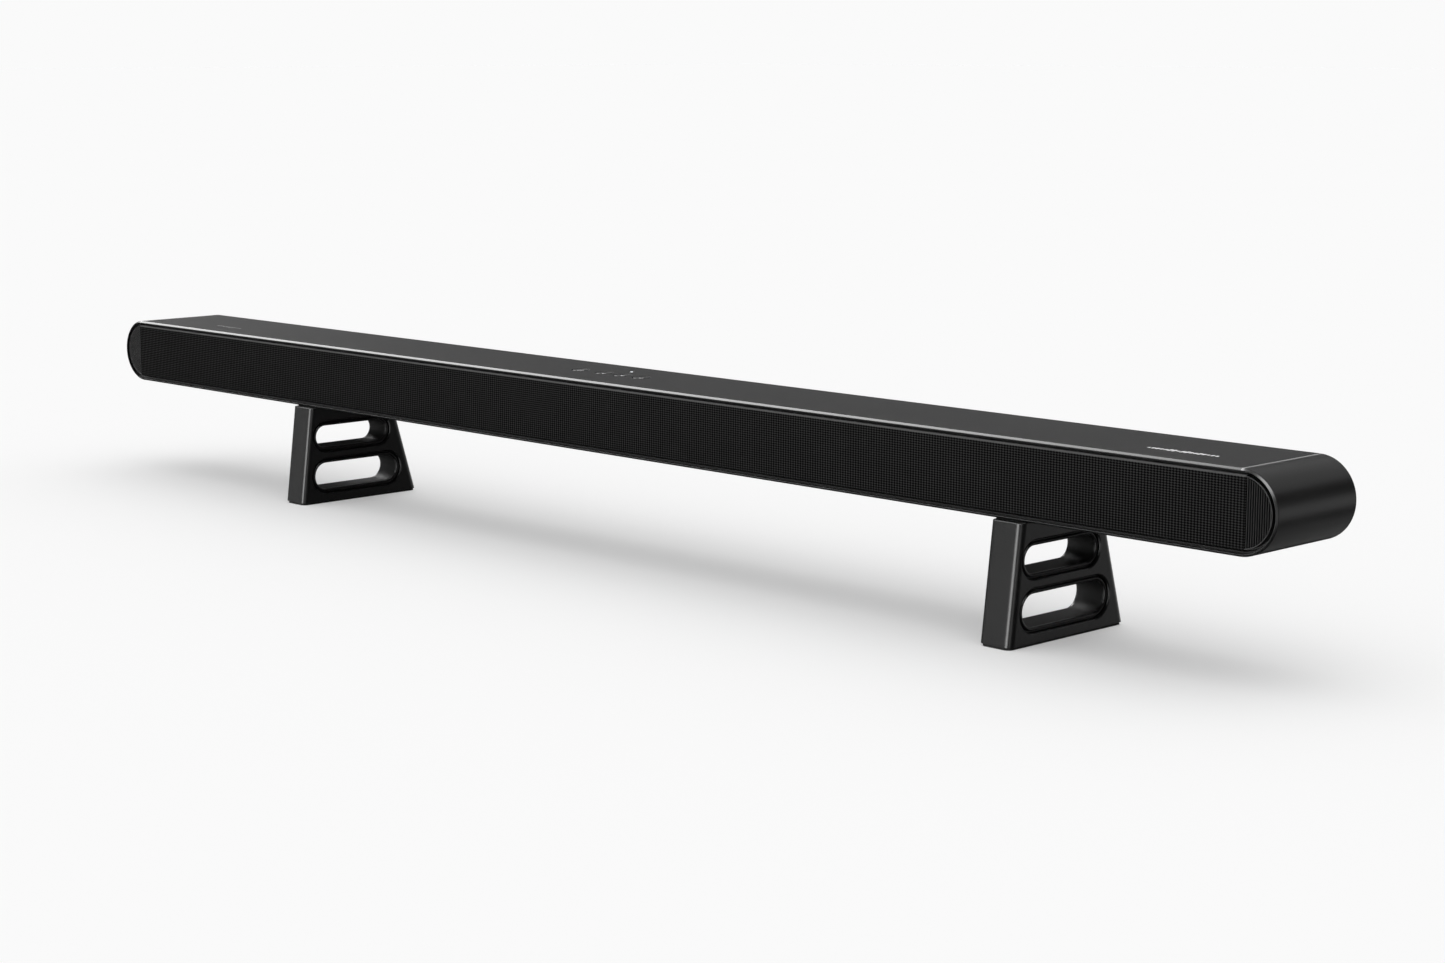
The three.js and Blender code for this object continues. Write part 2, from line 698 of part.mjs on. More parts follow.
// A round cap with a dished top, a flange that keeps it in the shell and a plunger over its switch.
function button() {
  const flangeTop = INNER_TOP - GAP;
  const plungerEnd = CONTROL_BOARD_TOP + SWITCH_HEIGHT + 0.8;
  const profile = [
    [0, plungerEnd],
    [PLUNGER_RADIUS, plungerEnd],
    [PLUNGER_RADIUS, flangeTop - 1],
    [BUTTON_RADIUS + BUTTON_FLANGE, flangeTop - 1],
    [BUTTON_RADIUS + BUTTON_FLANGE, flangeTop],
    [BUTTON_RADIUS, flangeTop],
    [BUTTON_RADIUS, TOP - 0.3],
    [BUTTON_RADIUS - 0.3, TOP],
    [BUTTON_RADIUS - 1, TOP],
    [0, TOP - BUTTON_DISH],
  ].map(([r, z]) => new THREE.Vector2(r, z));
  return solid(new THREE.LatheGeometry(profile, 16).rotateX(Math.PI / 2));
}

function statusLight() {
  return cylinderZ(LIGHT_RADIUS, CONTROL_BOARD_TOP + 1, TOP, LIGHT_X, LIGHT_Y, 8);
}

// ---- Stands, drawn in the part's frame and centred on X = 0 ----

// Front or rear of the stand at height z.
function standEdge(side, z) {
  return THREE.MathUtils.lerp(STAND_BOTTOM_Y[side], STAND_TOP_Y[side], z / STAND_HEIGHT);
}

// A block with rounded upright corners that leans in towards its top.
function taperedBlock(z0, z1, inset, edge) {
  const front = standEdge(0, z0) + inset;
  const rear = standEdge(1, z0) - inset;
  const outline = roundedRectangle(STAND_WIDTH - 2 * inset, rear - front, STAND_CORNER - inset);
  const bevel = edge > 0;
  const geometry = extruded(outline, z1 - z0 - 2 * edge, {
    bevelEnabled: bevel,
    bevelThickness: edge,
    bevelSize: edge,
    bevelOffset: -edge,
    bevelSegments: 2,
  });
  geometry.translate(0, (front + rear) / 2, z0 + edge);
  const position = geometry.attributes.position;
  const middle = (front + rear) / 2;
  for (let i = 0; i < position.count; i++) {
    const side = position.getY(i) < middle ? 0 : 1;
    const lean = standEdge(side, position.getZ(i)) - standEdge(side, z0);
    position.setY(i, position.getY(i) + lean);
  }
  return solid(geometry);
}

// The outline of a slot, drawn in Y and Z, grown or shrunk from its rim.
function slotOutline({ y, z }, inset) {
  const length = y[1] - y[0] - 2 * inset;
  const height = z[1] - z[0] - 2 * inset;
  return obround(length, height, 8, (y[0] + y[1]) / 2, (z[0] + z[1]) / 2);
}

function stand() {
  const block = taperedBlock(STAND_LOW, STAND_TOP_Z, 0, STAND_EDGE);
  const half = STAND_WIDTH / 2;
  const tools = [];
  for (const slot of SLOTS) {
    tools.push(alongX(slotOutline(slot, SLOT_RIM), -half - 1, half + 1));
    const lip = alongX(slotOutline(slot, SLOT_GROOVE), SLOT_LIP_DEPTH - half, half - SLOT_LIP_DEPTH);
    const core = box([SLOT_GROOVE_DEPTH - half, -100, 0], [half - SLOT_GROOVE_DEPTH, 100, STAND_HEIGHT]);
    const recess = alongX(slotOutline(slot, 0), -half - 1, half + 1);
    tools.push(cut(recess, [core, lip]));
  }
  for (const y of STAND_SCREW_YS) {
    tools.push(cylinderZ(STAND_SCREW_RADIUS + GAP, SCREW_SEAT_Z - 1, STAND_HEIGHT, 0, y, 8));
    const counterbore = STAND_SCREW_HEAD.radius + 0.4;
    tools.push(cylinderZ(counterbore, SCREW_SEAT_Z - 2 * SEAT_DEPTH, SCREW_SEAT_Z, 0, y, 12));
  }
  return cut(block, tools);
}

function standSole() {
  return taperedBlock(0, SOLE_THICKNESS, 0.8, 0);
}

function standPad() {
  const front = BAR_CENTRE_Y + FRONT + 1;
  const rear = standEdge(1, STAND_HEIGHT) - 1;
  const half = STAND_WIDTH / 2 - PAD_INSET;
  const low = STAND_HEIGHT - 0.1 - PAD_THICKNESS;
  const pad = box([-half, front, low], [half, rear, STAND_HEIGHT - 0.1]);
  const holes = STAND_SCREW_YS.map((y) => {
    return cylinderZ(STAND_SCREW_RADIUS + GAP, low - 1, STAND_HEIGHT + 1, 0, y, 8);
  });
  return cut(pad, holes);
}

// A cap screw whose head hides in the roof of the upper slot.
function standScrew() {
  const { radius, height, key } = STAND_SCREW_HEAD;
  const top = SCREW_SEAT_Z - GAP;
  const head = cylinderZ(radius, top - height, top, 0, 0, 12);
  const shank = cylinderZ(STAND_SCREW_RADIUS, top - 1, STAND_HEIGHT + STAND_SCREW_GRIP, 0, 0, 8);
  const socket = cylinderZ(key, top - height - 1, top - height / 2, 0, 0, 6);
  return head.add(shank).subtract(socket);
}

// ---- Assembly ----

addPiece(bar, "shell", shell(), SATIN_BLACK);
addPiece(bar, "top_panel", topPanel(), MATT_PANEL);
addPiece(bar, "grille_cloth", grilleCloth(), CLOTH);
addPiece(bar, "grille_frame", grilleFrame(), MOULDED_BLACK);
addPiece(bar, "end_grille_right", endGrille(), MOULDED_BLACK);
addPiece(bar, "end_grille_left", endGrille().mirror([1, 0, 0]), MOULDED_BLACK);
addPiece(bar, "front_baffle", frontBaffle(), MOULDED_BLACK);
addPiece(bar, "rear_cover", rearCover(), MOULDED_BLACK);
addPiece(bar, "bass_port_left", bassPort(), MOULDED_BLACK, -PORT_X);
addPiece(bar, "bass_port_right", bassPort(), MOULDED_BLACK, PORT_X);
POST_XS.forEach((x, i) => addPiece(bar, `cover_screw_${i + 1}`, coverScrew(), BLACK_STEEL, x));

WOOFER_XS.forEach((x, i) => {
  const name = `woofer_${i + 1}`;
  addPiece(bar, `${name}_basket`, wooferBasket(), BLACK_STEEL, x, DRIVER_FRONT);
  addPiece(bar, `${name}_magnet`, wooferMagnet(), STEEL, x, DRIVER_FRONT);
  addPiece(bar, `${name}_surround`, wooferSurround(), RUBBER, x, DRIVER_FRONT);
  addPiece(bar, `${name}_cone`, wooferCone(), PAPER_CONE, x, DRIVER_FRONT);
});
for (const [side, x] of [["left", -TWEETER_X], ["right", TWEETER_X]]) {
  addPiece(bar, `tweeter_${side}_frame`, tweeterFrame(), MOULDED_BLACK, x, DRIVER_FRONT);
  addPiece(bar, `tweeter_${side}_dome`, tweeterDome(), SILK, x, DRIVER_FRONT);
}

addPiece(bar, "main_board", board(MAIN_BOARD_X), BOARD_GREEN);
addPiece(bar, "power_board", board(POWER_BOARD_X), BOARD_GREEN);
addPiece(bar, "control_board", controlBoard(), BOARD_GREEN);
addPiece(bar, "heat_sink", heatSink(), ALUMINIUM);
addPiece(bar, "transformer", transformer(), COPPER);
addPiece(bar, "power_inlet", powerInlet(), MOULDED_BLACK);
addPiece(bar, "hdmi_jack", hdmiJack(), STEEL);
addPiece(bar, "optical_jack", opticalJack(), MOULDED_BLACK);
addPiece(bar, "aux_jack", auxJack(), STEEL);
addPiece(bar, "ir_receiver", irReceiver(), MOULDED_BLACK);
addPiece(bar, "speaker_loom", speakerLoom(), RUBBER);
addPiece(bar, "status_light", statusLight(), LIGHT_PIPE);
for (const [name, x] of Object.entries(BUTTON_XS)) {
  addPiece(bar, `button_${name}`, button(), SATIN_BLACK, x);
}

for (const [side, x] of [["left", STAND_LEFT_X], ["right", STAND_RIGHT_X]]) {
  addPiece(soundbar, `stand_${side}`, stand(), STAND_BLACK, x);
  addPiece(soundbar, `stand_sole_${side}`, standSole(), RUBBER, x);
  addPiece(soundbar, `stand_pad_${side}`, standPad(), RUBBER, x);
  addPiece(soundbar, `stand_screw_${side}_front`, standScrew(), BLACK_STEEL, x, STAND_SCREW_YS[0]);
  addPiece(soundbar, `stand_screw_${side}_rear`, standScrew(), BLACK_STEEL, x, STAND_SCREW_YS[1]);
}

export default soundbar;
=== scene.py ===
"""The looks of a slim soundbar on two riser stands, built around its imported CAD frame.

Metres, +Z up, in the frame's own axes: +X along the bar, -Y out of its front, the floor at Z = 0.
"""
import json
import math

import bmesh
import bpy
import numpy as np
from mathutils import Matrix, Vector


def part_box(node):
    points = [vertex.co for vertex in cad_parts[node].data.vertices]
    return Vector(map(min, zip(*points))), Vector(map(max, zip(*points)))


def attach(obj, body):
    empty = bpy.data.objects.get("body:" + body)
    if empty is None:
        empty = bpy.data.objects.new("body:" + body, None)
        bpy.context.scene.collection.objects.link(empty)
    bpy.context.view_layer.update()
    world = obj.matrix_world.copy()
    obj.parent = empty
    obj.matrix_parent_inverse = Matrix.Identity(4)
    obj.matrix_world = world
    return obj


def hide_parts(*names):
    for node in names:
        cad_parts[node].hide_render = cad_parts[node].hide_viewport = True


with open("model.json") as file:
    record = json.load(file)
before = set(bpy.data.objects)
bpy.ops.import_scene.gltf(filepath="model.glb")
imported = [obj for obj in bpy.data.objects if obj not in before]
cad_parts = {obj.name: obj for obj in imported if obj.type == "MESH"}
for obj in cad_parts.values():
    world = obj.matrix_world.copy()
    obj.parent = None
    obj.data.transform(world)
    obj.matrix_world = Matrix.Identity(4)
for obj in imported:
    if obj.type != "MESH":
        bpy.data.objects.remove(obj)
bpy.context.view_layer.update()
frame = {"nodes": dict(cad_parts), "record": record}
nodes = frame["nodes"]

MM = 0.001
GAP = 0.3 * MM

# ---- Places, taken from the frame ----

shell_low, shell_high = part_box("shell")
RADIUS = (shell_high.z - shell_low.z) / 2
ROUND_X = shell_high.x - RADIUS  # the round ends begin here
BAR_Z = shell_low.z + RADIUS
FRONT, REAR, TOP = shell_low.y, shell_high.y, shell_high.z
BAR_Y = (FRONT + REAR) / 2
WALL = 2.2 * MM
CHAMFER = 1.0 * MM
BUTTON_RADIUS = 5 * MM
LIGHT_RADIUS = 1.1 * MM
STAND_BORE_RADIUS = 2 * MM  # for the screws, in the stands and in the sleeve

BUTTONS = ("power", "volume_down", "source", "volume_up")
SIDES = ("left", "right")


def middle(name):
    low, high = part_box(name)
    return (low + high) / 2


# ---- Mesh making ----


def obround(half, radius, steps=48, centre=(0.0, 0.0)):
    """Two half circles joined by straight lines, each with its own centre at half from the middle."""
    points = []
    for side in (1, -1):
        for i in range(steps + 1):
            angle = math.pi * (i / steps - side / 2)
            across = centre[0] + side * half + radius * math.cos(angle)
            points.append((across, centre[1] + radius * math.sin(angle)))
    return points


def rounded(corners, closed=True, steps=4):
    """A path through corners (a, b, r), each softened over the length r on both of its sides."""
    path = []
    last = len(corners) - 1
    for i, (a, b, r) in enumerate(corners):
        here = Vector((a, b))
        if r == 0 or (not closed and i in (0, last)):
            path.append((a, b))
            continue
        before = Vector(corners[i - 1][:2])
        after = Vector(corners[(i + 1) % (last + 1)][:2])
        start = here + (before - here).normalized() * r
        end = here + (after - here).normalized() * r
        for k in range(steps + 1):
            t = k / steps
            path.append(tuple(start * (1 - t) ** 2 + here * 2 * t * (1 - t) + end * t * t))
    return path


def rectangle(low, high, radius, steps=4):
    """A rectangle with rounded corners, from its lowest to its highest corner."""
    return rounded(
        [
            (low[0], low[1], radius),
            (high[0], low[1], radius),
            (high[0], high[1], radius),
            (low[0], high[1], radius),
        ],
        steps=steps,
    )


def circle_points(x, y, radius, angles):
    return [(x + radius * math.cos(a), y + radius * math.sin(a)) for a in angles]


def circle(radius, steps=48, centre=(0.0, 0.0)):
    turn = 2 * math.pi / steps
    return circle_points(*centre, radius, [turn * i for i in range(steps)])


def add_loft(bm, rings, around=False):
    """Adds the surface through rings of points, closed by flat ends, or end to end when around."""
    rows = [[bm.verts.new(point) for point in ring] for ring in rings]
    count = len(rows[0])
    pairs = list(zip(rows, rows[1:]))
    if around:
        pairs.append((rows[-1], rows[0]))
    made = []
    for near, far in pairs:
        for i in range(count):
            j = (i + 1) % count
            made.append(bm.faces.new((near[i], near[j], far[j], far[i])))
    if not around:
        made.append(bm.faces.new(rows[0][::-1]))
        made.append(bm.faces.new(rows[-1]))
    bmesh.ops.recalc_face_normals(bm, faces=made)


def add_turned(bm, profile, place, axis="Z", steps=48):
    """Adds a profile of (radius, height) points, from axis to axis, turned round through place."""
    x, y, z = place

    def at(r, h, angle):
        across, up = r * math.cos(angle), r * math.sin(angle)
        if axis == "Z":
            return (x + across, y + up, z + h)
        return (x + across, y + h, z - up)

    rows = []
    for r, h in profile:
        if r < 1e-9:
            rows.append([bm.verts.new(at(0, h, 0))] * steps)
            continue
        rows.append([bm.verts.new(at(r, h, 2 * math.pi * i / steps)) for i in range(steps)])
    made = []
    for near, far in zip(rows, rows[1:]):
        for i in range(steps):
            j = (i + 1) % steps
            corners = list(dict.fromkeys((near[i], near[j], far[j], far[i])))
            made.append(bm.faces.new(corners))
    bmesh.ops.recalc_face_normals(bm, faces=made)


def add_box(bm, low, high, radius=0.0):
    """Adds a box whose upright edges are rounded."""
    outline = rectangle(low[:2], high[:2], radius)
    add_loft(bm, [[(x, y, z) for x, y in outline] for z in (low[2], high[2])])


def made_of(bm, name):
    mesh = bpy.data.meshes.new(name)
    bm.to_mesh(mesh)
    bm.free()
    made = bpy.data.objects.new(name, mesh)
    bpy.context.scene.collection.objects.link(made)
    return made


def applied(piece):
    """Gives the piece the mesh that its modifiers make, and removes them."""
    graph = bpy.context.evaluated_depsgraph_get()
    mesh = bpy.data.meshes.new_from_object(piece.evaluated_get(graph))
    old = piece.data
    piece.modifiers.clear()
    piece.data = mesh
    bpy.data.meshes.remove(old)
    mesh.name = piece.name
    return piece


def combined(piece, bm, operation="DIFFERENCE"):
    """Cuts the solids in bm out of the piece, or adds them to it."""
    tool = made_of(bm, "tool")
    modifier = piece.modifiers.new("cut", "BOOLEAN")
    modifier.operation = operation
    modifier.object = tool
    modifier.solver = "EXACT"
    applied(piece)
    mesh = tool.data
    bpy.data.objects.remove(tool)
    bpy.data.meshes.remove(mesh)
    return piece


def smoothed(piece, angle=32, bevel=0.0):
    """Rounds the sharp edges by bevel, and shades the rest smooth."""
    if bevel:
        modifier = piece.modifiers.new("edges", "BEVEL")
        modifier.width = bevel
        modifier.segments = 2
        modifier.limit_method = "ANGLE"
        modifier.angle_limit = math.radians(angle)
        modifier.use_clamp_overlap = True
        applied(piece)
    piece.data.shade_smooth()
    piece.data.set_sharp_from_angle(angle=math.radians(angle))
    modifier = piece.modifiers.new("shading", "WEIGHTED_NORMAL")
    modifier.keep_sharp = True
    return piece


def placed(piece, body, slot, *stands_for):
    """Puts a finished piece on its body, with the material of its slot, and hides the CAD nodes it stands
    for.
    """
    piece.data.materials.clear()
    piece.data.materials.append(materials[slot])
    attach(piece, body)
    if stands_for:
        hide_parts(*stands_for)
    return piece


# ---- Materials: a Principled shader fed by procedural textures in the frame's own metres ----


class Paint:
    def __init__(self, name, metallic=0.0, specular=0.5, **constants):
        self.material = bpy.data.materials.new(name)
        self.material.use_nodes = True
        self.tree = self.material.node_tree
        self.shader = self.tree.nodes["Principled BSDF"]
        self.shader.inputs["Metallic"].default_value = metallic
        self.shader.inputs["Specular IOR Level"].default_value = specular
        for key, value in constants.items():
            self.shader.inputs[key.replace("_", " ").title()].default_value = value
        self.place = self.node("ShaderNodeTexCoord").outputs["Object"]
        materials[name] = self.material

    def node(self, kind, inputs=None, **settings):
        node = self.tree.nodes.new(kind)
        for key, value in settings.items():
            setattr(node, key, value)
        for key, value in (inputs or {}).items():
            if isinstance(value, bpy.types.NodeSocket):
                self.tree.links.new(value, node.inputs[key])
            else:
                node.inputs[key].default_value = value
        return node

    def maths(self, operation, a, b=0.0):
        return self.node("ShaderNodeMath", {0: a, 1: b}, operation=operation).outputs[0]

    def noise(self, size, detail=2.0, stretch=(1, 1, 1), roughness=0.5):
        """Noise whose features are about size across, and stretch times longer along each axis."""
        scale = [1 / (size * s) for s in stretch]
        moved = self.node("ShaderNodeMapping", {"Vector": self.place, "Scale": scale})
        inputs = {"Vector": moved.outputs[0], "Scale": 1.0, "Detail": detail, "Roughness": roughness}
        return self.node("ShaderNodeTexNoise", inputs).outputs["Fac"]

    def cells(self, size):
        inputs = {"Vector": self.place, "Scale": 1 / size}
        return self.node("ShaderNodeTexVoronoi", inputs).outputs["Distance"]

    def between(self, factor, low, high, start=0.0, end=1.0):
        inputs = {"Value": factor, "From Min": start, "From Max": end, "To Min": low, "To Max": high}
        return self.node("ShaderNodeMapRange", inputs).outputs[0]

    def blend(self, factor, dark, light):
        mix = self.node("ShaderNodeMix", data_type="RGBA")
        for socket, value in ((0, factor), (6, dark), (7, light)):
            if isinstance(value, bpy.types.NodeSocket):
                self.tree.links.new(value, mix.inputs[socket])
            else:
                mix.inputs[socket].default_value = (*value, 1.0)
        return mix.outputs[2]

    def bump(self, height, distance, under=None):
        inputs = {"Height": height, "Distance": distance, "Strength": 1.0}
        if under is not None:
            inputs["Normal"] = under
        return self.node("ShaderNodeBump", inputs).outputs[0]

    def finish(self, colour, roughness, normal):
        self.tree.links.new(colour, self.shader.inputs["Base Color"])
        self.tree.links.new(roughness, self.shader.inputs["Roughness"])
        self.tree.links.new(normal, self.shader.inputs["Normal"])
        return self.material


materials = {}


def grey(value, warmth=0.0):
    return (value * (1 + warmth), value, value * (1 - warmth))


def satin_black():
    """Coated metal with a silky gloss and faint streaks, and a painted highlight: a pale band on the
    round ends just past each end of the inlay.
    """
    paint = Paint("satin_black", specular=0.5)
    cloud = paint.noise(60 * MM, detail=3)
    streaks = paint.noise(0.5 * MM, stretch=(120, 1, 1), detail=2)
    grain = paint.noise(0.14 * MM, detail=2)
    coat = paint.blend(cloud, grey(0.005), grey(0.008))
    parts = paint.node("ShaderNodeSeparateXYZ", {0: paint.place}).outputs
    # Painted highlight: the mask cut selects a pale band (grey 0.30 to 0.45) on the round ends, from each
    # end of the inlay to 1.8 mm past it, above the middle.
    beyond = paint.maths("SUBTRACT", paint.maths("ABSOLUTE", parts[0]), ROUND_X)
    near = paint.between(beyond, 1.0, 0.0, 0.9 * MM, 1.8 * MM)
    past = paint.maths("MULTIPLY", near, paint.maths("GREATER_THAN", beyond, -0.05 * MM))
    cut = paint.maths("MULTIPLY", past, paint.maths("GREATER_THAN", parts[2], BAR_Z))
    colour = paint.blend(cut, coat, paint.blend(grain, grey(0.30), grey(0.45)))
    uneven = paint.maths("ADD", paint.between(streaks, -0.05, 0.05), paint.between(cloud, 0.27, 0.33))
    bump = paint.bump(grain, 0.0012 * MM, paint.bump(streaks, 0.0015 * MM))
    return paint.finish(colour, uneven, bump)


def top_inlay():
    """Matt sheet with a fine stippled grain."""
    paint = Paint("top_inlay", specular=0.105)
    cloud = paint.noise(90 * MM, detail=3)
    grain = paint.noise(0.25 * MM, detail=3, roughness=0.6)
    pits = paint.cells(0.35 * MM)
    colour = paint.blend(paint.maths("MULTIPLY", cloud, grain), grey(0.022), grey(0.038))
    rough = paint.between(grain, 0.38, 0.50)
    bump = paint.bump(grain, 0.010 * MM, paint.bump(pits, 0.006 * MM))
    return paint.finish(colour, rough, bump)


CELL_X = 1.85 * MM
CELL_Z = 1.26 * MM


def grille_cloth():
    """Coarse woven cloth: painted shade in the holes between threads, and a painted highlight as a paler
    band along the top edge where it turns over.
    """
    paint = Paint("grille_cloth", specular=0.02)
    parts = paint.node("ShaderNodeSeparateXYZ", {0: paint.place}).outputs
    from_middle = paint.maths("SUBTRACT", parts[2], BAR_Z)
    across = paint.maths("COSINE", paint.maths("MULTIPLY", parts[0], 2 * math.pi / CELL_X))
    upright = paint.maths("COSINE", paint.maths("MULTIPLY", from_middle, 2 * math.pi / CELL_Z))
    lattice = paint.maths("ADD", across, upright)
    hole = paint.between(lattice, 0.0, 1.0, -0.8, 0.3)
    fibres = paint.noise(0.12 * MM, detail=3, stretch=(1, 1, 4))
    patches = paint.noise(14 * MM, detail=3)
    thread = paint.blend(fibres, grey(0.014), grey(0.042))
    wear_and_painted_highlight = paint.blend(patches, thread, paint.blend(fibres, grey(0.020), grey(0.056)))
    low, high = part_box("grille_cloth")
    height = (high.z - low.z) / 2
    # Painted highlight: a paler band along the top edge, where the cloth turns over, for the light it
    # catches there.
    edge = paint.between(from_middle, 0.0, 1.0, height - 1.3 * MM, height - 0.7 * MM)
    with_painted_highlight = paint.blend(edge, wear_and_painted_highlight, paint.blend(fibres, grey(0.09), grey(0.20)))
    # Painted shade: the holes of the weave are made near-black for the dark seen into them, except in the
    # painted highlight band.
    painted_hole_shade = paint.maths("MULTIPLY", hole, paint.maths("SUBTRACT", 1.0, edge))
    colour = paint.blend(painted_hole_shade, with_painted_highlight, grey(0.0005))
    rough = paint.between(fibres, 0.75, 0.98)
    bump = paint.bump(fibres, 0.05 * MM)
    return paint.finish(colour, rough, bump)


def moulded(name, tone, rough, grain_size=0.3, specular=0.5):
    """Moulded plastic with a spark-eroded grain."""
    paint = Paint(name, specular=specular)
    cloud = paint.noise(35 * MM, detail=3)
    grain = paint.noise(grain_size * MM, detail=3, roughness=0.6)
    colour = paint.blend(cloud, grey(tone * 0.8), grey(tone * 1.2))
    fine = paint.between(grain, rough - 0.06, rough + 0.06)
    spread = paint.maths("ADD", fine, paint.between(cloud, -0.02, 0.02))
    bump = paint.bump(grain, 0.008 * MM)
    return paint.finish(colour, spread, bump)


def ribbed_black():
    """Moulded plastic with a painted highlight on the crests of the ribs and painted shade between them.
    """
    paint = Paint("ribbed_black", specular=0.25)
    depth = paint.node("ShaderNodeSeparateXYZ", {0: paint.place}).outputs[1]
    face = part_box("end_grille_left")[0].y
    # Painted light by depth: pale on the outermost crests (painted highlight), near-black deeper between
    # the ribs (painted shade).
    painted_light_mask = paint.between(depth, 1.0, 0.0, face + 0.1 * MM, face + 0.5 * MM)
    grain = paint.noise(0.3 * MM, detail=3, roughness=0.6)
    wear_and_painted_highlight = paint.blend(grain, grey(0.018), grey(0.036))
    colour = paint.blend(painted_light_mask, grey(0.0005), wear_and_painted_highlight)
    return paint.finish(colour, paint.between(grain, 0.40, 0.52), paint.bump(grain, 0.008 * MM))


def rubber():
    paint = Paint("black_rubber", specular=0.3)
    dust = paint.noise(6 * MM, detail=5, roughness=0.7)
    grain = paint.noise(0.2 * MM, detail=3)
    colour = paint.blend(dust, grey(0.004), grey(0.009))
    return paint.finish(colour, paint.between(dust, 0.7, 0.9), paint.bump(grain, 0.02 * MM))


def metal(name, tone, rough, metallic=1.0, stretch=(1, 1, 1), warmth=0.0):
    """Plated, coated or bare metal with a directional grain and dull patches."""
    paint = Paint(name, metallic=metallic)
    grain = paint.noise(0.15 * MM, detail=3, stretch=stretch)
    patches = paint.noise(8 * MM, detail=4, roughness=0.65)
    colour = paint.blend(patches, grey(tone * 0.85, warmth), grey(tone * 1.1, warmth))
    dulled = paint.between(patches, rough - 0.06, rough + 0.08)
    spread = paint.maths("ADD", dulled, paint.between(grain, -0.03, 0.03))
    return paint.finish(colour, spread, paint.bump(grain, 0.004 * MM))


def paper_cone():
    """Pressed paper pulp with fibres in it."""
    paint = Paint("cone_paper", specular=0.3)
    fibres = paint.noise(0.25 * MM, detail=4, stretch=(3, 1, 1), roughness=0.7)
    blotches = paint.noise(4 * MM, detail=4)
    colour = paint.blend(paint.maths("MULTIPLY", fibres, blotches), grey(0.014), grey(0.05))
    return paint.finish(colour, paint.between(fibres, 0.65, 0.85), paint.bump(fibres, 0.05 * MM))


def silk_dome():
    """Woven silk under a tacky coating."""
    paint = Paint("dome_silk", specular=0.4, coat_weight=0.2, coat_roughness=0.4)
    parts = paint.node("ShaderNodeSeparateXYZ", {0: paint.place}).outputs
    pitch = 2 * math.pi / (0.3 * MM)
    warp = paint.maths("SINE", paint.maths("MULTIPLY", parts[0], pitch))
    weft = paint.maths("SINE", paint.maths("MULTIPLY", parts[2], pitch))
    weave = paint.between(paint.maths("MULTIPLY", warp, weft), 0.0, 1.0, -1.0, 1.0)
    colour = paint.blend(weave, grey(0.018), grey(0.035))
    return paint.finish(colour, paint.between(weave, 0.5, 0.65), paint.bump(weave, 0.03 * MM))


def circuit_board():
    """Green solder mask over copper tracks."""
    paint = Paint("circuit_board", specular=0.5, coat_weight=0.3, coat_roughness=0.25)
    moved = paint.node("ShaderNodeMapping", {"Vector": paint.place, "Scale": (1, 1, 0)}).outputs[0]
    settings = {"Vector": moved, "Scale": 1 / (9 * MM), "Mortar Size": 0.05, "Mortar Smooth": 0.4}
    settings.update({"Brick Width": 1.3, "Row Height": 0.35, "Bias": 0.0})
    tracks = paint.node("ShaderNodeTexBrick", settings).outputs["Fac"]
    pads = paint.between(paint.cells(3.1 * MM), 1.0, 0.0, 0.10, 0.16)
    cloud = paint.noise(20 * MM)
    mask = paint.blend(cloud, (0.008, 0.075, 0.022), (0.012, 0.10, 0.032))
    traced = paint.blend(tracks, mask, (0.03, 0.16, 0.05))
    colour = paint.blend(pads, traced, (0.55, 0.52, 0.45))
    return paint.finish(colour, paint.between(cloud, 0.35, 0.5), paint.bump(tracks, 0.035 * MM))


def transformer_winding():
    """Varnished windings wrapped in tape."""
    paint = Paint("transformer_winding", metallic=0.4, coat_weight=0.5, coat_roughness=0.2)
    parts = paint.node("ShaderNodeSeparateXYZ", {0: paint.place}).outputs
    turns = paint.maths("SINE", paint.maths("MULTIPLY", parts[2], 2 * math.pi / (0.8 * MM)))
    rings = paint.between(turns, 0.0, 1.0, -1.0, 1.0)
    cloud = paint.noise(5 * MM, detail=4)
    copper = paint.blend(cloud, (0.42, 0.17, 0.05), (0.6, 0.27, 0.09))
    colour = paint.blend(rings, (0.10, 0.035, 0.012), copper)
    return paint.finish(colour, paint.between(cloud, 0.3, 0.5), paint.bump(rings, 0.15 * MM))


def light_pipe():
    """Milky plastic, lit from behind by a white lamp."""
    paint = Paint("light_pipe", specular=0.5)
    cloud = paint.noise(0.5 * MM, detail=2)
    colour = paint.blend(cloud, (0.75, 0.80, 0.85), (0.9, 0.93, 0.95))
    lit = paint.blend(cloud, (0.86, 0.92, 1.0), (0.98, 0.99, 1.0))
    paint.tree.links.new(lit, paint.shader.inputs["Emission Color"])
    paint.shader.inputs["Emission Strength"].default_value = 1.4
    return paint.finish(colour, paint.between(cloud, 0.2, 0.35), paint.bump(cloud, 0.01 * MM))


def printed_ink(name, tone):
    """Pad-printed ink, slightly patchy."""
    paint = Paint(name, specular=0.4)
    patches = paint.noise(0.35 * MM, detail=3)
    colour = paint.blend(patches, grey(tone * 0.75), grey(tone * 1.15))
    return paint.finish(colour, paint.between(patches, 0.45, 0.65), paint.bump(patches, 0.004 * MM))


satin_black()
top_inlay()
grille_cloth()
moulded("moulded_black", 0.007, 0.34)
moulded("stand_black", 0.005, 0.29, grain_size=0.22)
moulded("slot_black", 0.006, 0.58, grain_size=0.45, specular=0.25)
ribbed_black()
rubber()
paper_cone()
silk_dome()
metal("plated_steel", 0.42, 0.32)
metal("black_steel", 0.03, 0.42, metallic=0.6)
metal("bare_aluminium", 0.6, 0.38, stretch=(1, 40, 1))
circuit_board()
transformer_winding()
light_pipe()
printed_ink("pale_ink", 0.92)
printed_ink("grey_ink", 0.34)


# ---- The bar ----


